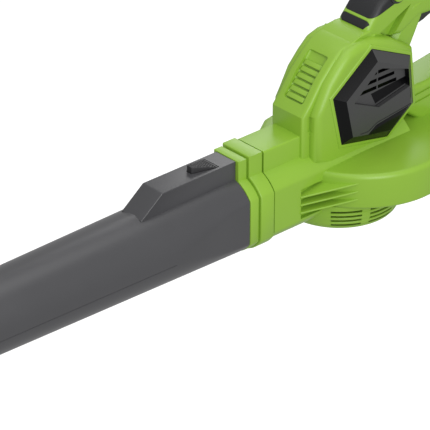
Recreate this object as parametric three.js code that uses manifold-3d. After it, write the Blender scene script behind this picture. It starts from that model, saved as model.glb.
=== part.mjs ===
// A cordless leaf blower, in millimetres. The blow tube points along -Y, the machine's left side is +X
// and +Z is up. The origin is the centre of the flat underside of the inlet bowl, on the fan's axis.
import * as THREE from 'three';
import { mergeVertices } from 'three/addons/utils/BufferGeometryUtils.js';
import Module from 'manifold-3d';

const wasm = await Module();
wasm.setup();

// ---------------------------------------------------------------- driving dimensions
const WALL = 2.6;
const GAP = 0.3;
const SPLIT_HALF_GAP = 0.15;
const FAR = 900;

const DUCT_RADIUS = 39.5;
const DUCT_FLAT_HALF = 33;
const DUCT_LIFT = 1.9;
const DUCT_AXIS_Z = DUCT_RADIUS + DUCT_LIFT;
const DUCT_FRONT_Y = -112;
const DUCT_BOX_HALF = 17.7;
const DUCT_BOX_TOP_Z = 98;

const COLLAR_FRONT_Y = -142;
const COLLAR_GROOVE_WIDTH = 1.6;
const COLLAR_GROOVE_DEPTH = 1.5;
const COLLAR_FRONT_BAND = 10;
const COLLAR_PROUD = 2;
const COLLAR_BORE_STEP = 0.2;
const COLLAR_BORE_RADIUS = DUCT_FLAT_HALF - WALL - COLLAR_BORE_STEP;

const TUBE_FRONT_Y = -590;
const TUBE_NOZZLE_RADIUS = 33;
const TUBE_WALL = 2.2;
const TUBE_ROUND_Y = -235;
const SPIGOT_LENGTH = 40;
const TUBE_BOX_HALF = 13.6;
const TUBE_BOX_TOP_Z = 97;
const TUBE_BOX_LENGTH = 88;
const TUBE_BOX_SLOPE = 38;
const BUTTON_WIDTH = 20;
const BUTTON_LENGTH = 27;
const BUTTON_REAR_Y = -160;
const BUTTON_RISE = 7;
const BUTTON_TRAVEL = 4;
const BUTTON_SKIRT = 9;
const BUTTON_SPRING_RADIUS = 4.6;

const SCROLL_RADIUS = 89;
const SCROLL_CENTRE_X = -2;
const SCROLL_CENTRE_Y = 30;
const SCROLL_BOTTOM_Z = 26.5;
const SCROLL_TOP_Z = 64;
const SCROLL_EDGE = 7;
const SCROLL_FRONT_Y = -92;
const DUCT_REAR_Y = -55;
const DUCT_TAIL_Y = 62;

const CORNER_FINS = 3;
const CORNER_FIN_Z = 27.5;
const CORNER_FIN_PITCH = 8.2;
const CORNER_FIN_THICKNESS = 2;
const CORNER_FIN_RISE = 8.5;

const INLET_RADIUS = 40;
const BOWL_BASE_RADIUS = 56;
const BOWL_RIM_RADIUS = 62;
const BOWL_SLOT_LEVELS = 4;
const BOWL_SLOT_PITCH = 4.9;
const BOWL_SLOT_HEIGHT = 2.2;
const BOWL_SLOT_FIRST_Z = 3.6;
const BOWL_POSTS = 10;
const BOWL_POST_WIDTH = 10;
const BOWL_SIDES = 30;

const NOSE_HALF = 22;
const BEZEL_CHAMFER = 5;
const COVER_CLEARANCE = 0.4;
const COVER_BEVEL = 9;
const COVER_PROUD = 8;
const COVER_WALL = 2.4;
const COVER_TRAY_DEPTH = 5;
const LOUVRE_HALF = 13;
const LOUVRE_SLATS = 6;
const LOUVRE_DEPTH = 4;
const LOUVRE_BAR = 1.6;
const LOUVRE_BORDER = 2;
const LOUVRE_OPENING = 2.2;

const HANDLE_HALF = 18;
const GRIP_HALF = 20;
const GRIP_EDGE = 6;
const GRIP_SKIN = 2.2;
const TRIGGER_WIDTH = 16;
const TRIGGER_SWING = 12;

const FAN_RADIUS = 50;
const FAN_BOTTOM_Z = 31.5;
const FAN_HEIGHT = 23.5;
const FAN_BLADES = 9;
const SHAFT_RADIUS = 4;
const FAN_HUB_DEPTH = 3;
const BLADE_SWEEP = 18;
const BLADE_THICKNESS = 2.4;
const MOTOR_RADIUS = 24;
const MOTOR_BOTTOM_Z = 72;
const MOTOR_HEIGHT = 52;
const MOTOR_SIDE_ROOM = 3.4;
const FOOT_FLANGE = 3;
const PLATE_THICKNESS = 2.4;
const PLATE_DROP = 2.2;
const PLATE_RADIUS = 46;
const FOOT_RADIUS = MOTOR_RADIUS + FOOT_FLANGE;
const BEZEL_HALF = MOTOR_RADIUS + MOTOR_SIDE_ROOM + WALL;
const COVER_FACE_X = BEZEL_HALF + COVER_PROUD;

const CELL_RADIUS = 9.2;
const CELL_LENGTH = 65;
const CELL_FLOOR = 3.4;
const CELL_END_ROOM = 0.9;
const CELL_SIDE_ROOM = 1.35;
const CELL_HEAD_ROOM = 24.6;
const CELL_PITCH = 2 * CELL_RADIUS + GAP;
const CELL_ROWS = [3, 2];
const BATTERY_HALF = CELL_LENGTH / 2 + CELL_END_ROOM + WALL;
const BATTERY_FRONT_Y = 172;
const BATTERY_LENGTH = CELL_ROWS[0] * CELL_PITCH + 2 * (CELL_SIDE_ROOM + WALL);
const BATTERY_BOTTOM_Z = 62;
const BATTERY_TOP_Z = BATTERY_BOTTOM_Z + WALL + CELL_FLOOR + CELL_ROWS.length * CELL_PITCH + CELL_HEAD_ROOM;
const BATTERY_CORNER = 6;

// ---------------------------------------------------------------- colours
const GREEN = '#8cb846';
const GREEN_DEEP = '#6f9f37';
const TUBE_BLACK = '#5f5f62';
const COVER_BLACK = '#47474a';
const GRIP_BLACK = '#2a2b2d';
const INNER_BLACK = '#26272a';
const GLOSS_BLACK = '#151516';
const STEEL = '#b8bcc0';
const BRASS = '#b89a4a';
const COPPER = '#a8663a';
const BOARD_GREEN = '#2f6b45';
const CELL_BLUE = '#3a6a9a';

function finish(colour, roughness, metalness = 0) {
  return new THREE.MeshStandardMaterial({ color: colour, roughness, metalness });
}

// ---------------------------------------------------------------- solids from three.js geometry
function solidOf(geometry) {
  const bare = geometry.clone();
  bare.deleteAttribute('normal');
  bare.deleteAttribute('uv');
  const merged = mergeVertices(bare, 1e-4);
  const index = merged.index ? merged.index.array : [...Array(merged.attributes.position.count).keys()];
  return new wasm.Manifold(new wasm.Mesh({
    numProp: 3,
    vertProperties: new Float32Array(merged.attributes.position.array),
    triVerts: new Uint32Array(index),
  }));
}

function geometryOf(solid) {
  const mesh = solid.getMesh();
  const geometry = new THREE.BufferGeometry();
  geometry.setAttribute('position', new THREE.BufferAttribute(mesh.vertProperties, 3));
  geometry.setIndex(new THREE.BufferAttribute(mesh.triVerts, 1));
  geometry.computeVertexNormals();
  return geometry;
}

function joined(solids) {
  return solids.reduce((whole, piece) => whole.add(piece));
}

function block(x0, x1, y0, y1, z0, z1) {
  const geometry = new THREE.BoxGeometry(x1 - x0, y1 - y0, z1 - z0);
  geometry.translate((x0 + x1) / 2, (y0 + y1) / 2, (z0 + z1) / 2);
  return solidOf(geometry);
}

function upright(radius, x, y, z0, z1, sides = 32, topRadius = radius) {
  const geometry = new THREE.CylinderGeometry(topRadius, radius, z1 - z0, sides);
  geometry.rotateX(Math.PI / 2);
  geometry.translate(x, y, (z0 + z1) / 2);
  return solidOf(geometry);
}

function crosswise(radius, x0, x1, y, z, sides = 16) {
  const geometry = new THREE.CylinderGeometry(radius, radius, x1 - x0, sides);
  geometry.rotateZ(Math.PI / 2);
  geometry.translate((x0 + x1) / 2, y, z);
  return solidOf(geometry);
}

function polygon(points) {
  return new THREE.Shape(points.map(([a, b]) => new THREE.Vector2(a, b)));
}

// An outline in (y, z), given as [y, z] points or a Shape, as thick as x0 to x1, its edges bevelled.
function sidePlate(outline, x0, x1, bevel = 0, segments = 1) {
  const shape = Array.isArray(outline) ? polygon(outline) : outline;
  const geometry = new THREE.ExtrudeGeometry(shape, {
    depth: x1 - x0 - 2 * bevel,
    bevelEnabled: bevel > 0,
    bevelThickness: bevel,
    bevelSize: bevel,
    bevelOffset: -bevel,
    bevelSegments: segments,
    curveSegments: 8,
  });
  const axes = new THREE.Matrix4().makeBasis(
    new THREE.Vector3(0, 1, 0), new THREE.Vector3(0, 0, 1), new THREE.Vector3(1, 0, 0));
  geometry.applyMatrix4(axes);
  geometry.translate(x0 + bevel, 0, 0);
  return solidOf(geometry);
}

// An outline in (x, y), as thick as z0 to z1.
function planPlate(outline, z0, z1, bevel = 0, segments = 1) {
  const shape = Array.isArray(outline) ? polygon(outline) : outline;
  const geometry = new THREE.ExtrudeGeometry(shape, {
    depth: z1 - z0 - 2 * bevel,
    bevelEnabled: bevel > 0,
    bevelThickness: bevel,
    bevelSize: bevel,
    bevelOffset: -bevel,
    bevelSegments: segments,
    curveSegments: 12,
  });
  geometry.translate(0, 0, z0 + bevel);
  return solidOf(geometry);
}

// An outline in (x, z), running from rearY forward to frontY; bend, if given, moves each of its points.
function forwardBar(outline, rearY, frontY, steps = 1, bend = null) {
  const shape = Array.isArray(outline) ? polygon(outline) : outline;
  const geometry = new THREE.ExtrudeGeometry(shape, {
    depth: rearY - frontY,
    steps,
    bevelEnabled: false,
    curveSegments: 10,
  });
  geometry.rotateX(Math.PI / 2);
  geometry.translate(0, rearY, 0);
  if (bend) {
    const points = geometry.attributes.position;
    const point = new THREE.Vector3();
    for (let i = 0; i < points.count; i += 1) {
      point.fromBufferAttribute(points, i);
      bend(point);
      points.setXYZ(i, point.x, point.y, point.z);
    }
  }
  return solidOf(geometry);
}

// A profile of [radius, z] points turned about a vertical axis at (x, y).
function turned(profile, x = 0, y = 0, sides = 48) {
  const geometry = new THREE.LatheGeometry(profile.map(([r, z]) => new THREE.Vector2(r, z)), sides);
  geometry.rotateX(Math.PI / 2);
  geometry.translate(x, y, 0);
  return solidOf(geometry);
}

function ring(outerRadius, innerRadius, x, y, z0, z1, sides = 32) {
  const bore = upright(innerRadius, x, y, z0 - 1, z1 + 1, sides);
  return upright(outerRadius, x, y, z0, z1, sides).subtract(bore);
}

function turnedAbout(solid, degrees) {
  const geometry = geometryOf(solid);
  geometry.rotateZ(THREE.MathUtils.degToRad(degrees));
  return solidOf(geometry);
}

// The same piece for the other side of the machine.
function mirrored(solid) {
  const geometry = geometryOf(solid);
  geometry.scale(-1, 1, 1);
  const index = geometry.index.array;
  for (let i = 0; i < index.length; i += 3) {
    [index[i], index[i + 1]] = [index[i + 1], index[i]];
  }
  return solidOf(geometry);
}

const group = new THREE.Group();
group.name = 'leaf_blower';

function addPiece(name, solid, material) {
  const mesh = new THREE.Mesh(geometryOf(solid), material);
  mesh.name = name;
  group.add(mesh);
}

// ---------------------------------------------------------------- outlines shared by several pieces
// The six corners of the side cover, as [y, z], from the top one rearwards and round.
const COVER_CORNERS = [[10, 166], [60, 143], [66, 92], [33, 68], [-26, 80], [-38, 131]];

// A convex outline moved outwards by a distance, or inwards when it is negative, its corners mitred.
function offsetOutline(points, distance) {
  const area = points.reduce((sum, [a, b], i) => {
    const [c, d] = points[(i + 1) % points.length];
    return sum + a * d - b * c;
  }, 0);
  const turn = Math.sign(area);
  return points.map(([a, b], i) => {
    const before = points[(i + points.length - 1) % points.length];
    const after = points[(i + 1) % points.length];
    const inward = new THREE.Vector2(a - before[0], b - before[1]).normalize();
    const outward = new THREE.Vector2(after[0] - a, after[1] - b).normalize();
    const normalIn = new THREE.Vector2(inward.y, -inward.x).multiplyScalar(turn);
    const normalOut = new THREE.Vector2(outward.y, -outward.x).multiplyScalar(turn);
    const mitre = normalIn.clone().add(normalOut).normalize();
    const reach = distance / mitre.dot(normalIn);
    return [a + mitre.x * reach, b + mitre.y * reach];
  });
}

// A circle about the duct's axis with its two sides cut flat.
function flatRoundOutline(radius, half) {
  const corner = Math.acos(half / radius);
  const shape = new THREE.Shape();
  shape.absarc(0, DUCT_AXIS_Z, radius, corner, Math.PI - corner);
  shape.absarc(0, DUCT_AXIS_Z, radius, Math.PI + corner, 2 * Math.PI - corner);
  return shape;
}

function circleOutline(radius, x = 0, z = DUCT_AXIS_Z) {
  const shape = new THREE.Shape();
  shape.absarc(x, z, radius, 0, 2 * Math.PI);
  return shape;
}

// ---------------------------------------------------------------- inlet bowl
function bowlProfile(grow, topZ) {
  return [
    [0, -grow * 2],
    [BOWL_BASE_RADIUS + grow, -grow * 2],
    [BOWL_BASE_RADIUS + grow, 0],
    [BOWL_RIM_RADIUS - 3 + grow, 6],
    [BOWL_RIM_RADIUS - 1 + grow, 14],
    [BOWL_RIM_RADIUS + grow, 24],
    [BOWL_RIM_RADIUS + grow, topZ],
    [0, topZ],
  ];
}

function bowlEnvelope(grow) {
  return turned(bowlProfile(grow, SCROLL_BOTTOM_Z + grow - GAP), 0, 0, BOWL_SIDES);
}

function makeInletBowl() {
  const top = SCROLL_BOTTOM_Z - GAP;
  let bowl = turned(bowlProfile(0, top), 0, 0, BOWL_SIDES).subtract(turned([
    [0, WALL],
    [BOWL_BASE_RADIUS - WALL + 1, WALL],
    [BOWL_RIM_RADIUS - 3 - WALL, 6],
    [BOWL_RIM_RADIUS - 1 - WALL, 14],
    [BOWL_RIM_RADIUS - WALL, 24],
    [BOWL_RIM_RADIUS - WALL, top + 1],
    [0, top + 1],
  ], 0, 0, BOWL_SIDES));
  const posts = [];
  for (let i = 0; i < BOWL_POSTS; i += 1) {
    const post = block(0, BOWL_RIM_RADIUS + 10, -BOWL_POST_WIDTH / 2, BOWL_POST_WIDTH / 2, 0, top);
    posts.push(turnedAbout(post, (i + 0.5) * 360 / BOWL_POSTS));
  }
  const keep = joined(posts);
  for (let level = 0; level < BOWL_SLOT_LEVELS; level += 1) {
    const z = BOWL_SLOT_FIRST_Z + level * BOWL_SLOT_PITCH;
    const cut = ring(BOWL_RIM_RADIUS + 8, BOWL_BASE_RADIUS - 8, 0, 0, z, z + BOWL_SLOT_HEIGHT, BOWL_POSTS);
    bowl = bowl.subtract(cut.subtract(keep));
  }
  return bowl;
}

// ---------------------------------------------------------------- housing: outer shape and cavity
function scrollSolid(inset) {
  const radius = SCROLL_RADIUS - inset;
  const bottom = SCROLL_BOTTOM_Z + inset;
  const top = SCROLL_TOP_Z - inset;
  const drum = turned([
    [0, bottom],
    [radius - 3, bottom],
    [radius, bottom + 3],
    [radius, top - SCROLL_EDGE - 2],
    [radius - SCROLL_EDGE * 0.3, top - SCROLL_EDGE * 0.3 - 2],
    [radius - SCROLL_EDGE, top - 2],
    [MOTOR_RADIUS + 20, top],
    [0, top],
  ], SCROLL_CENTRE_X, SCROLL_CENTRE_Y, 56);
  const neck = planPlate([
    [SCROLL_CENTRE_X - radius + 1, SCROLL_CENTRE_Y],
    [SCROLL_CENTRE_X - radius + 10, -20],
    [-DUCT_FLAT_HALF + inset, SCROLL_FRONT_Y],
    [DUCT_FLAT_HALF - inset, SCROLL_FRONT_Y + 18],
    [DUCT_FLAT_HALF - inset, -40],
    [SCROLL_CENTRE_X, SCROLL_CENTRE_Y],
  ], bottom, top - 2, 5);
  return drum.add(neck);
}

const CORNER_REAR_Y = -34;
const CORNER_REACH = Math.sqrt(SCROLL_RADIUS ** 2 - (SCROLL_CENTRE_Y - CORNER_REAR_Y) ** 2);
const CORNER_REAR_X = SCROLL_CENTRE_X + CORNER_REACH + 2;

// Fins that fill the corner between the duct's left side and the scroll, rising rearwards.
function cornerFins() {
  const frontY = SCROLL_FRONT_Y + 8;
  const rearY = CORNER_REAR_Y;
  const fins = [];
  for (let i = 0; i < CORNER_FINS; i += 1) {
    const z = CORNER_FIN_Z + i * CORNER_FIN_PITCH;
    const outline = [
      [frontY, z], [rearY, z + CORNER_FIN_RISE], [rearY, z + CORNER_FIN_RISE + CORNER_FIN_THICKNESS],
      [frontY, z + CORNER_FIN_THICKNESS],
    ];
    fins.push(sidePlate(outline, DUCT_FLAT_HALF - 2, CORNER_REAR_X + 2));
  }
  const corner = [
    [DUCT_FLAT_HALF - 3, frontY], [DUCT_FLAT_HALF + 0.8, frontY], [CORNER_REAR_X, rearY],
    [DUCT_FLAT_HALF - 3, rearY],
  ];
  return joined(fins).intersect(planPlate(corner, 0, FAR));
}

function ductSolid(inset, frontY) {
  const section = flatRoundOutline(DUCT_RADIUS - inset, DUCT_FLAT_HALF - inset);
  return forwardBar(section, DUCT_REAR_Y - inset, frontY);
}

// The duct's crown goes on rearwards over the scroll and carries the tower.
function tailSolid(inset) {
  const section = flatRoundOutline(DUCT_RADIUS - inset, DUCT_FLAT_HALF - inset);
  const bar = forwardBar(section, DUCT_TAIL_Y - inset, DUCT_REAR_Y + inset - WALL);
  return bar.intersect(block(-FAR, FAR, -FAR, FAR, SCROLL_TOP_Z - WALL + inset, FAR));
}

function ductBoxSolid(inset) {
  const half = DUCT_BOX_HALF - inset;
  return block(-half, half, DUCT_FRONT_Y + inset, -60, DUCT_AXIS_Z + 20, DUCT_BOX_TOP_Z - inset);
}

const NOSE_OUTLINE = [
  [-67, 70], [-67, 118], [-57, 128], [-44, 147], [-31, 160], [-19, 170], [-4, 174], [24, 174], [24, 70],
];

// The tower's wider middle, whose sides hold the vent covers.
const BEZEL_OUTLINE = [
  [-59, 70], [-59, 119], [-50, 129], [-38, 145], [-26, 157], [-10, 168], [10, 172], [66, 147], [72, 90],
  [38, 61], [-40, 61],
];

function noseSolid(inset) {
  return sidePlate(offsetOutline(NOSE_OUTLINE, -inset), -NOSE_HALF + inset, NOSE_HALF - inset, 3);
}

function bezelSolid(inset) {
  const outline = offsetOutline(BEZEL_OUTLINE, -inset);
  return sidePlate(outline, -BEZEL_HALF + inset, BEZEL_HALF - inset, BEZEL_CHAMFER);
}

// The handle's four parts, each an outline in [y, z].
const GRIP_OUTLINE = [
  [12, 168], [15, 181], [32, 200], [54, 212], [90, 220], [138, 220], [170, 211], [186, 196], [186, 150],
  [152, 150], [146, 168], [84, 171], [60, 160],
];
const STRUT_OUTLINE = [[36, 120], [40, 150], [48, 178], [87, 178], [75, 136], [68, 96], [40, 96]];
const LOWER_ARM_OUTLINE = [
  [50, 72], [50, 101], [95, 98], [152, 106], [152, 58], [92, 58], [74, 72],
];
const DOCK_OUTLINE = [[148, 56], [148, 172], [171, 172], [171, 56]];
const DOCK_HALF = 34;

function gripSolid(inset) {
  const bevel = Math.max(GRIP_EDGE - inset, 1);
  return sidePlate(insetOutline(GRIP_OUTLINE, inset), -GRIP_HALF + inset, GRIP_HALF - inset, bevel, 2);
}

function handleSolid(inset, gripInset) {
  const grip = gripSolid(gripInset);
  const strut = sidePlate(insetOutline(STRUT_OUTLINE, inset), -14 + inset, 14 - inset, 4);
  const arm = sidePlate(insetOutline(LOWER_ARM_OUTLINE, inset), -HANDLE_HALF + inset, HANDLE_HALF - inset, 5);
  const dock = sidePlate(insetOutline(DOCK_OUTLINE, inset), -DOCK_HALF + inset, DOCK_HALF - inset, 5);
  return joined([grip, strut, arm, dock]);
}

// Every outline of the handle runs the same way, so one mitred offset serves them all.
function insetOutline(points, inset) {
  return inset === 0 ? points : offsetOutline(points, -inset);
}

function housingOuter() {
  return joined([
    ductSolid(0, DUCT_FRONT_Y),
    ductBoxSolid(0),
    tailSolid(0),
    scrollSolid(0),
    cornerFins(),
    noseSolid(0),
    bezelSolid(0),
    handleSolid(0, 0),
  ]).subtract(bowlEnvelope(GAP));
}

function housingCavity() {
  return joined([
    ductSolid(WALL, DUCT_FRONT_Y - 1),
    ductBoxSolid(WALL),
    tailSolid(WALL),
    scrollSolid(WALL),
    noseSolid(WALL),
    bezelSolid(WALL),
    handleSolid(WALL, GRIP_SKIN + GAP + WALL),
  ]).subtract(bowlEnvelope(GAP + WALL));
}

// ---------------------------------------------------------------- what is cut into the housing
// The black skin covers the grip above this line, in [y, z].
const SKIN_REGION = [
  [8, 184], [54, 197], [120, 201], [152, 198], [172, 188], [192, 186], [192, 230], [8, 230],
];
const LOCK_BUTTON_Y = 54;
const LOCK_BUTTON_Z = 205;
const LOCK_BUTTON_RADIUS = 8;
const LOCK_RING_WIDTH = 2.5;
const LOCK_TRAVEL = 2.5;
const LOCK_WELL_ROOM = 1;
const RING_INNER_X = GRIP_HALF - GRIP_SKIN - WALL - 1;
const TRIGGER_PIN_Y = 92;
const TRIGGER_PIN_Z = 180;
const TRIGGER_PIN_RADIUS = 2;
const TRIGGER_OUTLINE = [[87, 184], [87, 164], [93, 157], [106, 159], [120, 163], [121, 178], [108, 184]];
const TRIGGER_SLOT_CLEARANCE = 1;
const TRIGGER_SPRING_RADIUS = 4.2;
const TRIGGER_SPRING_WIDTH = 3;
const TRIGGER_SPRING_X = TRIGGER_WIDTH / 2 + GAP;

// Room for the trigger at rest, half pulled and fully pulled about its pin, and for the spring beside it.
function triggerRoom() {
  const half = TRIGGER_WIDTH / 2 + TRIGGER_SLOT_CLEARANCE;
  const pin = new THREE.Vector2(TRIGGER_PIN_Y, TRIGGER_PIN_Z);
  const outline = offsetOutline(TRIGGER_OUTLINE, TRIGGER_SLOT_CLEARANCE);
  const springRoom = crosswise(TRIGGER_SPRING_RADIUS + GAP, 0, TRIGGER_SPRING_X + TRIGGER_SPRING_WIDTH + GAP,
    TRIGGER_PIN_Y, TRIGGER_PIN_Z, 20);
  return springRoom.add(joined([0, 0.5, 1].map((pull) => {
    const angle = THREE.MathUtils.degToRad(TRIGGER_SWING * pull);
    const turnedOutline = outline.map(([y, z]) => new THREE.Vector2(y, z).rotateAround(pin, angle));
    return sidePlate(turnedOutline.map((point) => [point.x, point.y]), -half, half);
  })));
}

// Where the housing screws go, as [y, z, half-width of the housing there].
const SCREWS = [
  [-58, 100, NOSE_HALF],
  [62, 162, 14],
  [118, 80, HANDLE_HALF],
  [136, 186, GRIP_HALF],
  [160, 70, DOCK_HALF],
  [160, 152, DOCK_HALF],
];
const SCREW_RADIUS = 1.8;
const SCREW_HEAD_RADIUS = 3.3;
const SCREW_SINK = 4;
const BOSS_RADIUS = 4.6;

const NOSE_SLOPE_START = new THREE.Vector2(-57, 128);
const NOSE_SLOPE_END = new THREE.Vector2(-31, 160);

function lockHole(radius, x0, x1) {
  return crosswise(radius, x0, x1, LOCK_BUTTON_Y, LOCK_BUTTON_Z, 24);
}

// The well of the lock button and its ring, deep enough for the pressed button.
function lockWell() {
  const innerX = RING_INNER_X - LOCK_TRAVEL - LOCK_WELL_ROOM;
  return lockHole(LOCK_BUTTON_RADIUS + LOCK_RING_WIDTH + GAP, innerX, GRIP_HALF + 4);
}

// A block laid on the nose's slope: along runs up the slope, depth into it.
function slopeBlock(half, alongStart, alongEnd, depthIn, depthOut) {
  const slope = NOSE_SLOPE_END.clone().sub(NOSE_SLOPE_START).normalize();
  const outward = new THREE.Vector2(-slope.y, slope.x);
  const corners = [
    [alongStart, -depthIn], [alongEnd, -depthIn], [alongEnd, depthOut], [alongStart, depthOut],
  ].map(([along, out]) => (
    NOSE_SLOPE_START.clone().addScaledVector(slope, along).addScaledVector(outward, out)
  ));
  return sidePlate(corners.map((c) => [c.x, c.y]), -half, half);
}

const SLOPE_LENGTH = NOSE_SLOPE_END.distanceTo(NOSE_SLOPE_START);
const LOUVRE_START = -3;
const LOUVRE_END = SLOPE_LENGTH + 6;

function makeHousing() {
  let shell = housingOuter().subtract(housingCavity());
  const skinBand = gripSolid(-0.5).subtract(gripSolid(GRIP_SKIN + GAP));
  shell = shell.subtract(skinBand.intersect(sidePlate(offsetOutline(SKIN_REGION, GAP), -40, 40)));

  const bosses = SCREWS.map(([y, z, half]) => crosswise(BOSS_RADIUS, -half + 1, half - 1, y, z, 12));
  shell = shell.add(joined(bosses));
  SCREWS.forEach(([y, z, half]) => {
    shell = shell.subtract(crosswise(SCREW_RADIUS + GAP, -half - 2, 9.5, y, z, 12));
    shell = shell.subtract(crosswise(SCREW_HEAD_RADIUS + GAP, -half - 2, -half + SCREW_SINK, y, z, 12));
  });

  const coverX = COVER_FACE_X + 1;
  return shell
    .subtract(sidePlate(offsetOutline(COVER_CORNERS, COVER_CLEARANCE), -coverX, coverX))
    .subtract(slopeBlock(LOUVRE_HALF + GAP, LOUVRE_START - GAP, LOUVRE_END + GAP, LOUVRE_DEPTH + 12, 20))
    .subtract(upright(INLET_RADIUS, 0, 0, SCROLL_BOTTOM_Z - 2, SCROLL_BOTTOM_Z + WALL + 2, 40))
    .subtract(upright(FOOT_RADIUS + GAP, 0, 0, SCROLL_TOP_Z - WALL - 2, MOTOR_BOTTOM_Z, 28))
    .subtract(triggerRoom())
    .subtract(lockWell())
    .subtract(block(-TERMINAL_HALF - 1, TERMINAL_HALF + 1, 165, 175, TERMINAL_Z0 - 1, TERMINAL_Z1 + 1));
}

const TERMINAL_HALF = 15;
const TERMINAL_HEIGHT = 20;
const TERMINAL_Z1 = BATTERY_TOP_Z - 8;
const TERMINAL_Z0 = TERMINAL_Z1 - TERMINAL_HEIGHT;

function keepLeft(solid) {
  return solid.intersect(block(SPLIT_HALF_GAP, FAR, -FAR, FAR, -FAR, FAR));
}

function keepRight(solid) {
  return solid.intersect(block(-FAR, -SPLIT_HALF_GAP, -FAR, FAR, -FAR, FAR));
}

const greenPlastic = finish(GREEN, 0.42);
const housing = makeHousing();
addPiece('housing_left', keepLeft(housing), greenPlastic);
addPiece('housing_right', keepRight(housing), finish(GREEN, 0.42));
addPiece('inlet_bowl', makeInletBowl(), finish(GREEN, 0.45));

// ---------------------------------------------------------------- collar
function collarBand(grow, rearY, frontY) {
  const ringPart = forwardBar(flatRoundOutline(DUCT_RADIUS + grow, DUCT_FLAT_HALF + grow), rearY, frontY);
  const half = DUCT_BOX_HALF - 1.4 + grow;
  return ringPart.add(block(-half, half, frontY, rearY, DUCT_AXIS_Z + 20, DUCT_BOX_TOP_Z - 0.6 + grow));
}

function makeCollar() {
  const rearY = DUCT_FRONT_Y - GAP;
  const grooveY = COLLAR_FRONT_Y + COLLAR_FRONT_BAND;
  const bandY = grooveY + COLLAR_GROOVE_WIDTH;
  const endY = rearY - COLLAR_GROOVE_WIDTH;
  const bore = forwardBar(circleOutline(COLLAR_BORE_RADIUS), rearY + 1, COLLAR_FRONT_Y - 1);
  return joined([
    collarBand(0.6, grooveY, COLLAR_FRONT_Y),
    collarBand(0.6 - COLLAR_GROOVE_DEPTH, rearY, COLLAR_FRONT_Y + 1),
    collarBand(COLLAR_PROUD, endY, bandY),
  ]).subtract(bore);
}
addPiece('collar', makeCollar(), finish(GREEN, 0.42));

// ---------------------------------------------------------------- blow tube and its release button
const TUBE_REAR_Y = COLLAR_FRONT_Y - GAP;

// The tube is flat-sided where it meets the collar and round further forward, and it tapers to the nozzle.
function tubeSolid(inset, rearY, frontY) {
  const outline = circleOutline(DUCT_RADIUS);
  return forwardBar(outline, rearY, frontY, 10, (point) => {
    const along = (TUBE_REAR_Y - point.y) / (TUBE_REAR_Y - TUBE_FRONT_Y);
    const radius = DUCT_RADIUS + (TUBE_NOZZLE_RADIUS - DUCT_RADIUS) * along - inset;
    const rounding = THREE.MathUtils.clamp((TUBE_REAR_Y - point.y) / (TUBE_REAR_Y - TUBE_ROUND_Y), 0, 1);
    const half = (DUCT_FLAT_HALF - inset) + (radius - (DUCT_FLAT_HALF - inset)) * rounding;
    const dz = (point.z - DUCT_AXIS_Z) * radius / DUCT_RADIUS;
    point.x = THREE.MathUtils.clamp(point.x * radius / DUCT_RADIUS, -half, half);
    point.z = DUCT_AXIS_Z + dz;
  });
}

function tubeBoxOutline() {
  const frontY = TUBE_REAR_Y - TUBE_BOX_LENGTH;
  const rootZ = DUCT_AXIS_Z + DUCT_RADIUS - 8;
  return [
    [TUBE_REAR_Y, rootZ], [TUBE_REAR_Y, TUBE_BOX_TOP_Z], [frontY, TUBE_BOX_TOP_Z],
    [frontY - TUBE_BOX_SLOPE, rootZ + 6], [frontY - TUBE_BOX_SLOPE, rootZ],
  ];
}

function makeTube() {
  const spigotRadius = COLLAR_BORE_RADIUS - GAP;
  const spigotRearY = TUBE_REAR_Y + SPIGOT_LENGTH;
  const shell = tubeSolid(0, TUBE_REAR_Y, TUBE_FRONT_Y)
    .subtract(tubeSolid(TUBE_WALL, TUBE_REAR_Y - TUBE_WALL, TUBE_FRONT_Y - 1));
  const box = sidePlate(tubeBoxOutline(), -TUBE_BOX_HALF, TUBE_BOX_HALF, 2)
    .subtract(tubeSolid(0.5, TUBE_REAR_Y + 1, TUBE_FRONT_Y));
  const spigot = forwardBar(circleOutline(spigotRadius), spigotRearY, TUBE_REAR_Y - TUBE_WALL);
  const bore = forwardBar(circleOutline(spigotRadius - TUBE_WALL), spigotRearY + 1,
    TUBE_REAR_Y - TUBE_WALL - 1);
  const half = BUTTON_WIDTH / 2 + GAP;
  const pocket = block(-half, half, BUTTON_REAR_Y - BUTTON_LENGTH - GAP, BUTTON_REAR_Y + GAP,
    BUTTON_POCKET_Z, TUBE_BOX_TOP_Z + 5);
  return joined([shell, box, spigot]).subtract(bore).subtract(pocket);
}

const BUTTON_POCKET_Z = DUCT_AXIS_Z + DUCT_RADIUS + 2;

function makeTubeButton() {
  const frontY = BUTTON_REAR_Y - BUTTON_LENGTH;
  const topZ = TUBE_BOX_TOP_Z + BUTTON_RISE;
  const bottomZ = TUBE_BOX_TOP_Z - BUTTON_SKIRT;
  const wedge = sidePlate([
    [BUTTON_REAR_Y, bottomZ], [BUTTON_REAR_Y, TUBE_BOX_TOP_Z + 0.8], [frontY + 4, topZ],
    [frontY, topZ - 2], [frontY, bottomZ],
  ], -BUTTON_WIDTH / 2, BUTTON_WIDTH / 2);
  const springRoom = upright(BUTTON_SPRING_RADIUS + 0.8, 0, frontY + BUTTON_LENGTH / 2, bottomZ - 1,
    TUBE_BOX_TOP_Z - 1, 20);
  return wedge.subtract(springRoom);
}

const tubePlastic = finish(TUBE_BLACK, 0.5);
addPiece('blow_tube', makeTube(), tubePlastic);
addPiece('tube_release_button', makeTubeButton(), finish(GRIP_BLACK, 0.55));
addPiece('tube_release_spring', ring(BUTTON_SPRING_RADIUS, BUTTON_SPRING_RADIUS - 1.2, 0,
  BUTTON_REAR_Y - BUTTON_LENGTH / 2, BUTTON_POCKET_Z + GAP, TUBE_BOX_TOP_Z - 1 - BUTTON_TRAVEL - 1, 16),
finish(STEEL, 0.3, 0.9));

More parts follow.
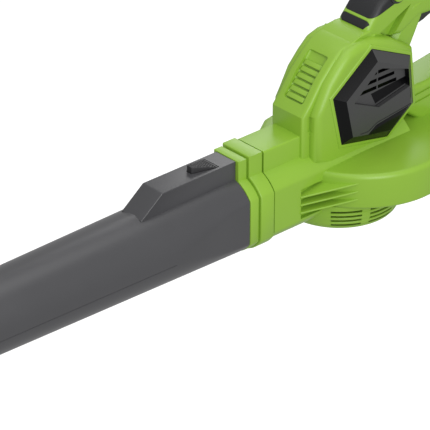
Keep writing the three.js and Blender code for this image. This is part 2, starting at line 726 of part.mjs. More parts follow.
// ---------------------------------------------------------------- side covers and their gloss panels
const VENT_RECESS = [[13, 148], [53, 134], [54, 117], [12, 108], [-19, 124]];
const VENT_SLOTS = [[-10, 34, 125, 128], [-4, 40, 131, 134], [4, 30, 137, 140]];
const GLOSS_PANEL = [[4, 84], [50, 95.5], [29, 78]];
const GLOSS_THICKNESS = 1.2;
const COVER_INNER_X = BEZEL_HALF - WALL + GAP;

function makeSideCover() {
  const outer = sidePlate(COVER_CORNERS, COVER_INNER_X - 2 * COVER_BEVEL, COVER_FACE_X, COVER_BEVEL);
  const hollow = sidePlate(offsetOutline(COVER_CORNERS, -COVER_WALL), COVER_INNER_X - 2 * COVER_BEVEL,
    COVER_FACE_X - COVER_WALL, COVER_BEVEL - 1);
  const tray = sidePlate(offsetOutline(VENT_RECESS, 1.5), COVER_FACE_X - COVER_TRAY_DEPTH - 1.5,
    COVER_FACE_X - 1);
  let cover = outer.subtract(hollow).add(tray);
  cover = cover.subtract(sidePlate(VENT_RECESS, COVER_FACE_X - COVER_TRAY_DEPTH, COVER_FACE_X + 1));
  VENT_SLOTS.forEach(([y0, y1, z0, z1]) => {
    cover = cover.subtract(block(COVER_FACE_X - 12, COVER_FACE_X, y0, y1, z0, z1));
  });
  cover = cover.subtract(sidePlate(offsetOutline(GLOSS_PANEL, GAP), COVER_FACE_X - GLOSS_THICKNESS - GAP,
    COVER_FACE_X + 1));
  return cover.intersect(block(COVER_INNER_X, FAR, -FAR, FAR, -FAR, FAR));
}

function makeGlossPanel() {
  return sidePlate(GLOSS_PANEL, COVER_FACE_X - GLOSS_THICKNESS, COVER_FACE_X + 0.2);
}

['left', 'right'].forEach((side) => {
  const place = (solid) => (side === 'left' ? solid : mirrored(solid));
  addPiece(`side_cover_${side}`, place(makeSideCover()), finish(COVER_BLACK, 0.45));
  addPiece(`gloss_panel_${side}`, place(makeGlossPanel()), finish(GLOSS_BLACK, 0.12));
});

// ---------------------------------------------------------------- front louvre panel
function makeLouvrePanel() {
  const panel = slopeBlock(LOUVRE_HALF, LOUVRE_START, LOUVRE_END, LOUVRE_DEPTH + 3, -0.5);
  const pitch = (LOUVRE_END - LOUVRE_START - 2 * LOUVRE_BORDER) / LOUVRE_SLATS;
  let cut = panel;
  for (let i = 0; i < LOUVRE_SLATS; i += 1) {
    const start = LOUVRE_START + LOUVRE_BORDER + i * pitch;
    cut = cut.subtract(slopeBlock(LOUVRE_HALF - LOUVRE_BORDER, start + LOUVRE_BAR, start + pitch,
      LOUVRE_DEPTH, 5));
  }
  const top = LOUVRE_END - LOUVRE_BORDER;
  return cut.subtract(slopeBlock(LOUVRE_HALF - 2 * LOUVRE_BORDER, top - LOUVRE_OPENING, top,
    LOUVRE_DEPTH + 8, 5));
}
addPiece('front_louvre_panel', makeLouvrePanel(), finish(GREEN, 0.42));

// ---------------------------------------------------------------- grip skin, lock button and trigger
const skin = gripSolid(0).subtract(gripSolid(GRIP_SKIN)).intersect(sidePlate(SKIN_REGION, -40, 40))
  .subtract(lockWell());
addPiece('grip_skin', skin, finish(GRIP_BLACK, 0.7));

const lockRing = lockHole(LOCK_BUTTON_RADIUS + LOCK_RING_WIDTH, RING_INNER_X, GRIP_HALF + 0.6)
  .subtract(lockHole(LOCK_BUTTON_RADIUS + GAP, RING_INNER_X - 1, GRIP_HALF + 2));
addPiece('lock_button_ring', lockRing, finish(GRIP_BLACK, 0.5));
addPiece('lock_button', lockHole(LOCK_BUTTON_RADIUS, RING_INNER_X, GRIP_HALF + 0.6 + LOCK_TRAVEL),
  finish(GREEN, 0.4));

const pinHole = (grow) => crosswise(TRIGGER_PIN_RADIUS + grow, -FAR, FAR, TRIGGER_PIN_Y, TRIGGER_PIN_Z);
const trigger = sidePlate(TRIGGER_OUTLINE, -TRIGGER_WIDTH / 2, TRIGGER_WIDTH / 2, 1).subtract(pinHole(GAP));
addPiece('trigger', trigger, finish(GRIP_BLACK, 0.5));
const PIN_HALF = GRIP_HALF - GRIP_SKIN - WALL - 2 * GAP - 1;
addPiece('trigger_pin', crosswise(TRIGGER_PIN_RADIUS, -PIN_HALF, PIN_HALF, TRIGGER_PIN_Y, TRIGGER_PIN_Z),
  finish(STEEL, 0.3, 0.9));
const triggerSpring = crosswise(TRIGGER_SPRING_RADIUS, TRIGGER_SPRING_X,
  TRIGGER_SPRING_X + TRIGGER_SPRING_WIDTH, TRIGGER_PIN_Y, TRIGGER_PIN_Z, 20).subtract(pinHole(GAP));
addPiece('trigger_spring', triggerSpring, finish(STEEL, 0.3, 0.9));
const SWITCH_HALF = 6;
const SWITCH_FRONT_Y = TRIGGER_PIN_Y + 11;
const SWITCH_LENGTH = 21;
const SWITCH_BOTTOM_Z = TRIGGER_PIN_Z + 14;
const SWITCH_HEIGHT = 12;
addPiece('trigger_switch', block(-SWITCH_HALF, SWITCH_HALF, SWITCH_FRONT_Y, SWITCH_FRONT_Y + SWITCH_LENGTH,
  SWITCH_BOTTOM_Z, SWITCH_BOTTOM_Z + SWITCH_HEIGHT), finish(INNER_BLACK, 0.4));

// ---------------------------------------------------------------- fan, motor and its mounting
const PLATE_TOP_Z = SCROLL_TOP_Z - WALL - GAP - PLATE_DROP;
const FAN_TOP_Z = FAN_BOTTOM_Z + FAN_HEIGHT;
const HUB_RADIUS = 14;
const BEARING_RADIUS = 11;
const BEARING_HEIGHT = 7;
const MOTOR_TOP_Z = MOTOR_BOTTOM_Z + MOTOR_HEIGHT;
const CAP_HEIGHT = 8;
const MOTOR_WALL = 2.5;
const ROTOR_RADIUS = 12;
const AIR_GAP = 0.8;

function makeImpeller() {
  let fan = upright(FAN_RADIUS, 0, 0, FAN_TOP_Z - PLATE_THICKNESS, FAN_TOP_Z, 36)
    .add(upright(HUB_RADIUS, 0, 0, FAN_BOTTOM_Z + FAN_HUB_DEPTH, FAN_TOP_Z, 20));
  for (let i = 0; i < FAN_BLADES; i += 1) {
    const blade = planPlate([
      [HUB_RADIUS + 6, -1], [FAN_RADIUS - 6, BLADE_SWEEP],
      [FAN_RADIUS - 7, BLADE_SWEEP + BLADE_THICKNESS], [HUB_RADIUS + 5, BLADE_THICKNESS - 1],
    ], FAN_BOTTOM_Z, FAN_TOP_Z - 1);
    fan = fan.add(turnedAbout(blade, i * 360 / FAN_BLADES));
  }
  return fan.subtract(upright(SHAFT_RADIUS + GAP, 0, 0, 0, FAR, 20));
}
addPiece('impeller', makeImpeller(), finish(INNER_BLACK, 0.45));
const NUT_RADIUS = 7;
const NUT_BOTTOM_Z = FAN_BOTTOM_Z - 3.2;
const impellerNut = upright(NUT_RADIUS, 0, 0, NUT_BOTTOM_Z, FAN_BOTTOM_Z + FAN_HUB_DEPTH - GAP, 6)
  .subtract(upright(SHAFT_RADIUS + GAP, 0, 0, 0, FAR, 20));
addPiece('impeller_nut', impellerNut, finish(STEEL, 0.3, 0.9));
addPiece('motor_shaft', upright(SHAFT_RADIUS, 0, 0, NUT_BOTTOM_Z - 0.8, MOTOR_TOP_Z + CAP_HEIGHT - 1, 16),
  finish(STEEL, 0.25, 1));
addPiece('fan_plate', ring(PLATE_RADIUS, HUB_RADIUS + 2, 0, 0, PLATE_TOP_Z - PLATE_THICKNESS, PLATE_TOP_Z,
  36), finish(GREEN_DEEP, 0.5));
addPiece('motor_foot', ring(FOOT_RADIUS, HUB_RADIUS + 4, 0, 0, PLATE_TOP_Z + GAP, MOTOR_BOTTOM_Z - GAP, 28),
  finish(INNER_BLACK, 0.5));

const motorCan = ring(MOTOR_RADIUS, BEARING_RADIUS + GAP, 0, 0, MOTOR_BOTTOM_Z, MOTOR_TOP_Z, 28)
  .subtract(upright(MOTOR_RADIUS - MOTOR_WALL, 0, 0, MOTOR_BOTTOM_Z + BEARING_HEIGHT, MOTOR_TOP_Z + 1, 28));
addPiece('motor_can', motorCan, finish(STEEL, 0.35, 0.8));
const motorCap = upright(MOTOR_RADIUS, 0, 0, MOTOR_TOP_Z + GAP, MOTOR_TOP_Z + GAP + CAP_HEIGHT, 28)
  .subtract(upright(BEARING_RADIUS + GAP, 0, 0, 0, MOTOR_TOP_Z + GAP + BEARING_HEIGHT, 20))
  .subtract(upright(SHAFT_RADIUS + 2, 0, 0, 0, FAR, 16));
addPiece('motor_end_cap', motorCap, finish(INNER_BLACK, 0.5));
[['lower_bearing', MOTOR_BOTTOM_Z], ['upper_bearing', MOTOR_TOP_Z]].forEach(([name, z]) => {
  addPiece(name, ring(BEARING_RADIUS, SHAFT_RADIUS + GAP, 0, 0, z, z + BEARING_HEIGHT - GAP, 20),
    finish(STEEL, 0.25, 1));
});
const CORE_END_ROOM = 4;
const CORE_BOTTOM_Z = MOTOR_BOTTOM_Z + BEARING_HEIGHT + CORE_END_ROOM;
const CORE_TOP_Z = MOTOR_TOP_Z - CORE_END_ROOM;
addPiece('rotor_core', ring(ROTOR_RADIUS, SHAFT_RADIUS + GAP, 0, 0, CORE_BOTTOM_Z, CORE_TOP_Z, 20),
  finish(COPPER, 0.35, 0.8));
addPiece('stator', ring(MOTOR_RADIUS - MOTOR_WALL - GAP, ROTOR_RADIUS + AIR_GAP, 0, 0, CORE_BOTTOM_Z,
  CORE_TOP_Z, 24), finish(COPPER, 0.4, 0.7));

// ---------------------------------------------------------------- electronics
const BOARD_THICKNESS = 1.6;
const BOARD_HALF = 17;
const BOARD_FRONT_Y = -16;
const BOARD_REAR_Y = 28;
const BOARD_Z = MOTOR_TOP_Z + CAP_HEIGHT + 4;
const SINK_HALF = 10;
const SINK_Z = BOARD_Z + BOARD_THICKNESS + GAP;
addPiece('control_board', block(-BOARD_HALF, BOARD_HALF, BOARD_FRONT_Y, BOARD_REAR_Y, BOARD_Z,
  BOARD_Z + BOARD_THICKNESS), finish(BOARD_GREEN, 0.5));
addPiece('heat_sink', block(-SINK_HALF, SINK_HALF, BOARD_FRONT_Y + 8, BOARD_FRONT_Y + 28, SINK_Z, SINK_Z + 6),
  finish(STEEL, 0.35, 0.9));

const TERMINAL_FRONT_Y = DOCK_OUTLINE[0][0] + WALL + GAP;
addPiece('terminal_block', block(-TERMINAL_HALF + 1, TERMINAL_HALF - 1, TERMINAL_FRONT_Y,
  BATTERY_FRONT_Y - WALL - 2 * GAP, TERMINAL_Z0, TERMINAL_Z1), finish(INNER_BLACK, 0.5));

// ---------------------------------------------------------------- battery
const BATTERY_REAR_Y = BATTERY_FRONT_Y + BATTERY_LENGTH;
const BATTERY_SPLIT_Z = BATTERY_BOTTOM_Z + 38;
const BLADE_X = 7;
const BLADE_LENGTH = 12;
const BLADE_Z0 = TERMINAL_Z0 + 5;
const BLADE_Z1 = TERMINAL_Z1 - 5;
const BLADE_ROOM = 2;
const LATCH_HALF = 13;
const LATCH_HEIGHT = 12;
const LATCH_Z0 = BATTERY_TOP_Z - 22;
const LATCH_Z1 = LATCH_Z0 + LATCH_HEIGHT;
const LATCH_TRAVEL = 3;
const LATCH_DEPTH = 9;

[['contact_blade_left', BLADE_X], ['contact_blade_right', -BLADE_X]].forEach(([name, x]) => {
  const bladeY = BATTERY_FRONT_Y - WALL - GAP;
  addPiece(name, block(x - 0.5, x + 0.5, bladeY, bladeY + BLADE_LENGTH, BLADE_Z0, BLADE_Z1),
    finish(BRASS, 0.3, 0.9));
});

function batteryBox(inset) {
  const bottom = BATTERY_BOTTOM_Z + inset;
  const corner = BATTERY_CORNER - inset;
  const outline = [
    [-BATTERY_HALF + inset, bottom + corner],
    [-BATTERY_HALF + inset + corner, bottom],
    [BATTERY_HALF - inset - corner, bottom],
    [BATTERY_HALF - inset, bottom + corner],
    [BATTERY_HALF - inset, BATTERY_TOP_Z - inset - corner],
    [BATTERY_HALF - inset - corner, BATTERY_TOP_Z - inset],
    [-BATTERY_HALF + inset + corner, BATTERY_TOP_Z - inset],
    [-BATTERY_HALF + inset, BATTERY_TOP_Z - inset - corner],
  ];
  return forwardBar(outline, BATTERY_REAR_Y - inset, BATTERY_FRONT_Y + inset);
}

function makeBatteryShell() {
  let shell = batteryBox(0).subtract(batteryBox(WALL));
  [BLADE_X, -BLADE_X].forEach((x) => {
    shell = shell.subtract(block(x - BLADE_ROOM - 0.5, x + BLADE_ROOM + 0.5, BATTERY_FRONT_Y - 1,
      BATTERY_FRONT_Y + WALL + 1, BLADE_Z0 - BLADE_ROOM, BLADE_Z1 + BLADE_ROOM));
  });
  return shell.subtract(block(-LATCH_HALF - GAP, LATCH_HALF + GAP, BATTERY_REAR_Y - WALL - 1,
    BATTERY_REAR_Y + 1, LATCH_Z0 - GAP, LATCH_Z1 + GAP));
}
const batteryShell = makeBatteryShell();
const aboveSplit = block(-FAR, FAR, -FAR, FAR, BATTERY_SPLIT_Z + GAP / 2, FAR);
const belowSplit = block(-FAR, FAR, -FAR, FAR, -FAR, BATTERY_SPLIT_Z - GAP / 2);
addPiece('battery_top_shell', batteryShell.intersect(aboveSplit), finish(GRIP_BLACK, 0.5));
addPiece('battery_bottom_shell', batteryShell.intersect(belowSplit), finish(GRIP_BLACK, 0.5));
addPiece('battery_latch', block(-LATCH_HALF, LATCH_HALF, BATTERY_REAR_Y - LATCH_DEPTH,
  BATTERY_REAR_Y + LATCH_TRAVEL - 0.5, LATCH_Z0, LATCH_Z1), finish(GREEN, 0.4));

let cellNumber = 0;
CELL_ROWS.forEach((count, row) => {
  const z = BATTERY_BOTTOM_Z + WALL + CELL_FLOOR + CELL_RADIUS + row * CELL_PITCH;
  for (let i = 0; i < count; i += 1) {
    const y = BATTERY_FRONT_Y + BATTERY_LENGTH / 2 + (i - (count - 1) / 2) * CELL_PITCH;
    cellNumber += 1;
    addPiece(`cell_${cellNumber}`, crosswise(CELL_RADIUS, -CELL_LENGTH / 2, CELL_LENGTH / 2, y, z, 16),
      finish(CELL_BLUE, 0.4));
  }
});
const PACK_BOARD_HALF = BATTERY_HALF - 10;
const PACK_BOARD_MARGIN = 14;
const PACK_BOARD_Z = BATTERY_TOP_Z - 9;
addPiece('battery_board', block(-PACK_BOARD_HALF, PACK_BOARD_HALF, BATTERY_FRONT_Y + PACK_BOARD_MARGIN,
  BATTERY_REAR_Y - PACK_BOARD_MARGIN, PACK_BOARD_Z, PACK_BOARD_Z + BOARD_THICKNESS),
finish(BOARD_GREEN, 0.5));

// ---------------------------------------------------------------- housing screws
SCREWS.forEach(([y, z, half], i) => {
  const headX = -half + SCREW_SINK;
  const screw = crosswise(SCREW_RADIUS, headX - 1, 9, y, z, 10)
    .add(crosswise(SCREW_HEAD_RADIUS, headX - 2.4, headX - GAP, y, z, 12));
  addPiece(`housing_screw_${i + 1}`, screw, finish(STEEL, 0.3, 0.9));
});

export default group;
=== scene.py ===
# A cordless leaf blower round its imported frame: blow tube forward along -Y, the machine's left side +X.
import math

import bmesh
import bpy
from mathutils import Matrix, Vector


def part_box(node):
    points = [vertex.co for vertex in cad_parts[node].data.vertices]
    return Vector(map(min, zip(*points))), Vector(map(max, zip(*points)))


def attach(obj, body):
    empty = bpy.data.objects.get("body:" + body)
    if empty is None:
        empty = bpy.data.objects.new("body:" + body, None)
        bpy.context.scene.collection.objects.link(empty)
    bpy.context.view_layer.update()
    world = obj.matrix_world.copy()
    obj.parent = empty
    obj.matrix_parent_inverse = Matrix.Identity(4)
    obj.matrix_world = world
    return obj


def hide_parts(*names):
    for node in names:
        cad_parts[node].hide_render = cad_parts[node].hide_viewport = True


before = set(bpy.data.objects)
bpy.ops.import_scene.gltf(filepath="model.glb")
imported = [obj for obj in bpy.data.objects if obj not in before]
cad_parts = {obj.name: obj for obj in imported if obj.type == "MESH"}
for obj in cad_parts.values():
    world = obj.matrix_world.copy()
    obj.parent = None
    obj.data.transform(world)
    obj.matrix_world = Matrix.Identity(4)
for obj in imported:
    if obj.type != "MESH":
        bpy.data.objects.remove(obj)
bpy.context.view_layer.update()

# ---------------------------------------------------------------- camera
# A long lens looks down on the machine's left front quarter. The nozzle, the rear of the handle and the battery
# fall outside its view.
CAMERA_AZIMUTH = math.radians(47.9)
CAMERA_ELEVATION = math.radians(29.3)
CAMERA_TARGET = Vector((0.0, -0.1555, 0.0415))
CAMERA_DISTANCE = 3.0
camera_data = bpy.data.cameras.new("camera")
camera_data.lens = 276.0
camera_data.sensor_width = 36
camera_data.clip_end = 20
camera = bpy.data.objects.new("camera", camera_data)
view_back = Vector((
    math.sin(CAMERA_AZIMUTH) * math.cos(CAMERA_ELEVATION),
    -math.cos(CAMERA_AZIMUTH) * math.cos(CAMERA_ELEVATION),
    math.sin(CAMERA_ELEVATION),
))
camera.location = CAMERA_TARGET + view_back * CAMERA_DISTANCE
camera.rotation_euler = (-view_back).to_track_quat("-Z", "Y").to_euler()
bpy.context.scene.collection.objects.link(camera)
bpy.context.scene.camera = camera


# ---------------------------------------------------------------- floor and studio light
# A faintly glowing white sheet hangs well below the machine and throws no light back on it. Three soft boxes light
# it: a broad one overhead, a stronger one on the left and a weak one from behind.
def node_link(tree, source, target):
    tree.links.new(source, target)


FLOOR_DROP = 0.45
FLOOR_REACH = 8
floor_material = bpy.data.materials.new("studio_white")
floor_material.use_nodes = True
floor_shader = floor_material.node_tree.nodes["Principled BSDF"]
floor_shader.inputs["Base Color"].default_value = (0.93, 0.93, 0.93, 1)
floor_shader.inputs["Roughness"].default_value = 0.9
floor_shader.inputs["Emission Color"].default_value = (1, 1, 1, 1)
floor_shader.inputs["Emission Strength"].default_value = 0.35
floor_shader.inputs["Specular IOR Level"].default_value = 0.1
floor_mesh = bpy.data.meshes.new("studio_floor")
floor_bm = bmesh.new()
bmesh.ops.create_grid(floor_bm, x_segments=1, y_segments=1, size=FLOOR_REACH)
bmesh.ops.translate(floor_bm, vec=(0, 0, -FLOOR_DROP), verts=floor_bm.verts)
floor_bm.to_mesh(floor_mesh)
floor_bm.free()
floor_mesh.materials.append(floor_material)
floor = bpy.data.objects.new("studio_floor", floor_mesh)
bpy.context.scene.collection.objects.link(floor)
floor.visible_diffuse = False
floor.visible_glossy = False


def soft_box(name, place, aim, size, power):
    lamp = bpy.data.lights.new(name, "AREA")
    lamp.shape = "RECTANGLE"
    lamp.size, lamp.size_y = size
    lamp.energy = power
    box = bpy.data.objects.new(name, lamp)
    box.location = place
    box.rotation_euler = (Vector(aim) - Vector(place)).to_track_quat("-Z", "Y").to_euler()
    bpy.context.scene.collection.objects.link(box)


soft_box("overhead_box", (0.1, -0.2, 1.5), (0, -0.1, 0), (1.4, 1.8), 9)
soft_box("left_box", (1.5, -0.6, 0.75), (0, -0.1, 0.08), (0.9, 1.4), 18)
soft_box("rear_box", (-0.9, 1.2, 0.9), (0, 0, 0.1), (0.9, 0.9), 6)
world = bpy.data.worlds.new("booth")
world.use_nodes = True
world.node_tree.nodes["Background"].inputs["Color"].default_value = (1, 1, 1, 1)
world.node_tree.nodes["Background"].inputs["Strength"].default_value = 0.5
bpy.context.scene.world = world
bpy.context.scene.view_settings.view_transform = "Standard"


# ---------------------------------------------------------------- blow tube
# The long tube is blow-moulded from charcoal plastic with a fine satin grain. Its rear end is flat-sided to match
# the collar and carries a round spigot; forward of that it is round and tapers to a beaded nozzle.
MM = 0.001


def plastic(name, colour, roughness, grain=0.16, grain_scale=1500.0, mottle=0.07):
    """Moulded plastic: a fine pebbled surface, slight cloudiness of tone and uneven polish."""
    material = bpy.data.materials.new(name)
    material.use_nodes = True
    tree = material.node_tree
    shader = tree.nodes["Principled BSDF"]
    place = tree.nodes.new("ShaderNodeTexCoord")
    cloud = tree.nodes.new("ShaderNodeTexNoise")
    cloud.inputs["Scale"].default_value = 22.0
    cloud.inputs["Detail"].default_value = 4.0
    tone = tree.nodes.new("ShaderNodeMix")
    tone.data_type = "RGBA"
    tone.inputs["A"].default_value = (*[c * (1 - mottle) for c in colour], 1)
    tone.inputs["B"].default_value = (*[min(c * (1 + mottle), 1) for c in colour], 1)
    polish = tree.nodes.new("ShaderNodeMapRange")
    polish.inputs["To Min"].default_value = roughness - 0.05
    polish.inputs["To Max"].default_value = roughness + 0.06
    pebble = tree.nodes.new("ShaderNodeTexNoise")
    pebble.inputs["Scale"].default_value = grain_scale
    pebble.inputs["Detail"].default_value = 2.0
    bump = tree.nodes.new("ShaderNodeBump")
    bump.inputs["Strength"].default_value = grain
    bump.inputs["Distance"].default_value = 0.0002
    node_link(tree, place.outputs["Object"], cloud.inputs["Vector"])
    node_link(tree, place.outputs["Object"], pebble.inputs["Vector"])
    node_link(tree, cloud.outputs["Fac"], tone.inputs["Factor"])
    node_link(tree, cloud.outputs["Fac"], polish.inputs["Value"])
    node_link(tree, tone.outputs["Result"], shader.inputs["Base Color"])
    node_link(tree, polish.outputs["Result"], shader.inputs["Roughness"])
    node_link(tree, pebble.outputs["Fac"], bump.inputs["Height"])
    node_link(tree, bump.outputs["Normal"], shader.inputs["Normal"])
    return material


def mesh_from(name, bm, sharp=32):
    """The bmesh, in millimetres, as an object in metres with its sharp edges kept."""
    bmesh.ops.remove_doubles(bm, verts=bm.verts, dist=0.002)
    bmesh.ops.recalc_face_normals(bm, faces=bm.faces)
    bmesh.ops.scale(bm, vec=(MM, MM, MM), verts=bm.verts)
    mesh = bpy.data.meshes.new(name)
    bm.to_mesh(mesh)
    bm.free()
    mesh.polygons.foreach_set("use_smooth", [True] * len(mesh.polygons))
    mesh.set_sharp_from_angle(angle=math.radians(sharp))
    piece = bpy.data.objects.new(name, mesh)
    bpy.context.scene.collection.objects.link(piece)
    return piece


def add_piece(name, bm, material, body, stands_for=(), sharp=32):
    piece = mesh_from(name, bm, sharp)
    piece.data.materials.append(material)
    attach(piece, body)
    if stands_for:
        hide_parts(*stands_for)
    return piece


def loop_at(bm, edges, y):
    """Extrudes a ring of edges to another place along the tube and gives the new ring."""
    grown = bmesh.ops.extrude_edge_only(bm, edges=edges)["geom"]
    ring = [v for v in grown if isinstance(v, bmesh.types.BMVert)]
    for v in ring:
        v.co.y = y
    return ring, [e for e in grown if isinstance(e, bmesh.types.BMEdge)]


tube_low, tube_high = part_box("blow_tube")
DUCT_RADIUS = 39.5
DUCT_FLAT_HALF = 33.0
DUCT_AXIS_Z = 41.4
TUBE_FRONT_Y = tube_low.y / MM
SPIGOT_REAR_Y = tube_high.y / MM
TUBE_REAR_Y = SPIGOT_REAR_Y - 40
TUBE_ROUND_Y = -235.0
NOZZLE_RADIUS = 33.0
TUBE_WALL = 2.2
SPIGOT_RADIUS = 29.9
TUBE_SIDES = 112
tube_plastic = plastic("charcoal_tube_plastic", (0.06, 0.06, 0.064), 0.3, grain=0.12, mottle=0.05)


def tube_radius(y):
    share = (TUBE_REAR_Y - y) / (TUBE_REAR_Y - TUBE_FRONT_Y)
    return DUCT_RADIUS + (NOZZLE_RADIUS - DUCT_RADIUS) * share


def tube_flat(y):
    rounding = min(max((TUBE_REAR_Y - y) / (TUBE_REAR_Y - TUBE_ROUND_Y), 0), 1)
    eased = rounding * rounding * (3 - 2 * rounding)
    return DUCT_FLAT_HALF + (tube_radius(y) - DUCT_FLAT_HALF) * eased


# Each station is (y, radius, half of the distance between the flats); ROUND leaves the ring without flats.
ROUND = 60
stations = [(SPIGOT_REAR_Y, SPIGOT_RADIUS - 0.6, ROUND), (SPIGOT_REAR_Y - 1, SPIGOT_RADIUS, ROUND)]
stations += [(TUBE_REAR_Y, SPIGOT_RADIUS, ROUND), (TUBE_REAR_Y, DUCT_RADIUS - 0.6, DUCT_FLAT_HALF - 0.6)]
TUBE_STEPS = 44
outer_ys = [TUBE_REAR_Y - 0.6 - i * (TUBE_REAR_Y - TUBE_FRONT_Y - 10) / TUBE_STEPS for i in range(TUBE_STEPS + 1)]
stations += [(y, tube_radius(y), tube_flat(y)) for y in outer_ys]
BEAD = 1.1
nozzle_bore = NOZZLE_RADIUS - TUBE_WALL
stations += [(TUBE_FRONT_Y + 8, NOZZLE_RADIUS + BEAD, ROUND), (TUBE_FRONT_Y + 1, NOZZLE_RADIUS + BEAD, ROUND)]
stations += [(TUBE_FRONT_Y, NOZZLE_RADIUS + BEAD - 0.9, ROUND), (TUBE_FRONT_Y, nozzle_bore + 0.7, ROUND)]
stations += [(TUBE_FRONT_Y + 0.8, nozzle_bore, ROUND)]
inner_ys = outer_ys[::-4]
spigot_bore = SPIGOT_RADIUS - TUBE_WALL
stations += [(y, tube_radius(y) - TUBE_WALL, tube_flat(y) - TUBE_WALL)
             for y in inner_ys if y < TUBE_REAR_Y - 3]
stations += [(TUBE_REAR_Y - 2.4, spigot_bore, ROUND), (SPIGOT_REAR_Y, spigot_bore, ROUND)]

tube_bm = bmesh.new()
turn = tube_bm.verts.layers.float.new("turn")
bmesh.ops.create_circle(tube_bm, segments=TUBE_SIDES, radius=1.0)
for v in tube_bm.verts:
    v[turn] = math.atan2(v.co.y, v.co.x)
ring = list(tube_bm.verts)
ring_edges = first_edges = list(tube_bm.edges)
for i, (y, radius, flat) in enumerate(stations):
    if i > 0:
        ring, ring_edges = loop_at(tube_bm, ring_edges, y)
    for v in ring:
        across = max(-flat, min(flat, radius * math.cos(v[turn])))
        v.co = Vector((across, y, DUCT_AXIS_Z + radius * math.sin(v[turn])))
bmesh.ops.bridge_loops(tube_bm, edges=first_edges + ring_edges)
add_piece("blow_tube_shell", tube_bm, tube_plastic, "tube", ["blow_tube"], sharp=28)

# ---------------------------------------------------------------- the tube's parting lines
# The two mould halves leave a fine raised line along each side of the round part of the tube.
PARTING_ANGLE = math.radians(-9)
PARTING_WIDTH = 0.9
PARTING_HEIGHT = 0.35
parting_bm = bmesh.new()
parting_rear = TUBE_ROUND_Y
parting_front = TUBE_FRONT_Y + 9
for side in (1, -1):
    made = bmesh.ops.create_cube(parting_bm, size=1)["verts"]
    for v in made:
        y = parting_rear if v.co.y > 0 else parting_front
        reach = tube_radius(y) + (PARTING_HEIGHT if v.co.x > 0 else -1)
        height = PARTING_WIDTH / 2 * (1 if v.co.z > 0 else -1)
        v.co = Vector((
            side * (reach * math.cos(PARTING_ANGLE) - height * math.sin(PARTING_ANGLE)), y,
            DUCT_AXIS_Z + reach * math.sin(PARTING_ANGLE) + height * math.cos(PARTING_ANGLE),
        ))
add_piece("tube_parting_lines", parting_bm, tube_plastic, "tube")

# ---------------------------------------------------------------- latch box on the tube
# A raised box moulded on top of the tube holds the release catch. Its sides are panels framed by a thin rim, its
# front slopes down to the tube, and its top has a three-cornered hole for the button.
BOX_HALF = 13.6
BOX_TOP_Z = 97.0
BOX_FRONT_Y = TUBE_REAR_Y - 88
BOX_FOOT_Y = TUBE_REAR_Y - 113
BOX_ROOT_Z = 68.0
BUTTON_REAR_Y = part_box("tube_release_button")[1].y / MM
BUTTON_FRONT_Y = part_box("tube_release_button")[0].y / MM
BUTTON_HALF = 9.8
BUTTON_TIP_HALF = 3.2
POCKET_GAP = 0.5


def outline_solid(points, low, high, across="x"):
    """A solid with this outline, from low to high along one axis; its points are in the other two."""
    place = {
        "x": lambda a, b: (low, a, b),
        "y": lambda a, b: (a, low, b),
        "z": lambda a, b: (a, b, low),
    }[across]
    solid = bmesh.new()
    face = solid.faces.new([solid.verts.new(place(a, b)) for a, b in points])
    grown = bmesh.ops.extrude_face_region(solid, geom=[face])["geom"]
    shift = Vector([high - low if axis == across else 0 for axis in "xyz"])
    bmesh.ops.translate(solid, verts=[v for v in grown if isinstance(v, bmesh.types.BMVert)], vec=shift)
    bmesh.ops.recalc_face_normals(solid, faces=solid.faces)
    return solid


def soften(solid, width, segments=3, angle=25, chosen=None):
    """Rounds every edge sharper than the angle, or only those that the chosen test picks."""
    edges = [e for e in solid.edges if e.calc_face_angle(0) > math.radians(angle)]
    if chosen:
        edges = [e for e in edges if chosen((e.verts[0].co + e.verts[1].co) / 2, e)]
    bmesh.ops.bevel(solid, geom=edges, offset=width, offset_type="OFFSET", segments=segments, profile=0.5,
                    affect="EDGES", material=-1, clamp_overlap=True)
    return solid


def combined(solid, others, operation="DIFFERENCE"):
    """The solid with the others cut out of it, added to it or kept in common."""
    base = bpy.data.objects.new("base", bpy.data.meshes.new("base"))
    solid.to_mesh(base.data)
    solid.free()
    bpy.context.scene.collection.objects.link(base)
    tools = []
    for other in others:
        tool = bpy.data.objects.new("tool", bpy.data.meshes.new("tool"))
        bmesh.ops.recalc_face_normals(other, faces=other.faces)
        other.to_mesh(tool.data)
        other.free()
        bpy.context.scene.collection.objects.link(tool)
        cut = base.modifiers.new("cut", "BOOLEAN")
        cut.operation = operation
        cut.solver = "EXACT"
        cut.object = tool
        tools.append(tool)
    depsgraph = bpy.context.evaluated_depsgraph_get()
    result = bmesh.new()
    result.from_object(base, depsgraph)
    for used in tools + [base]:
        mesh = used.data
        bpy.data.objects.remove(used)
        bpy.data.meshes.remove(mesh)
    return result


def cylinder(radius, low, high, centre, axis="z", sides=48, end_radius=None):
    """A round bar along one axis, from low to high, about a centre given in the other two."""
    solid = bmesh.new()
    bmesh.ops.create_cone(solid, cap_ends=True, segments=sides, radius1=radius,
                          radius2=radius if end_radius is None else end_radius, depth=high - low)
    turned = {"x": Matrix.Rotation(math.radians(90), 3, "Y"), "y": Matrix.Rotation(math.radians(-90), 3, "X"),
              "z": Matrix.Identity(3)}[axis]
    bmesh.ops.rotate(solid, cent=(0, 0, 0), matrix=turned, verts=solid.verts)
    middle = (low + high) / 2
    a, b = centre
    place = {"x": (middle, a, b), "y": (a, middle, b), "z": (a, b, middle)}[axis]
    bmesh.ops.translate(solid, verts=solid.verts, vec=place)
    return solid


def cuboid(x0, x1, y0, y1, z0, z1):
    return outline_solid([(y0, z0), (y1, z0), (y1, z1), (y0, z1)], x0, x1)


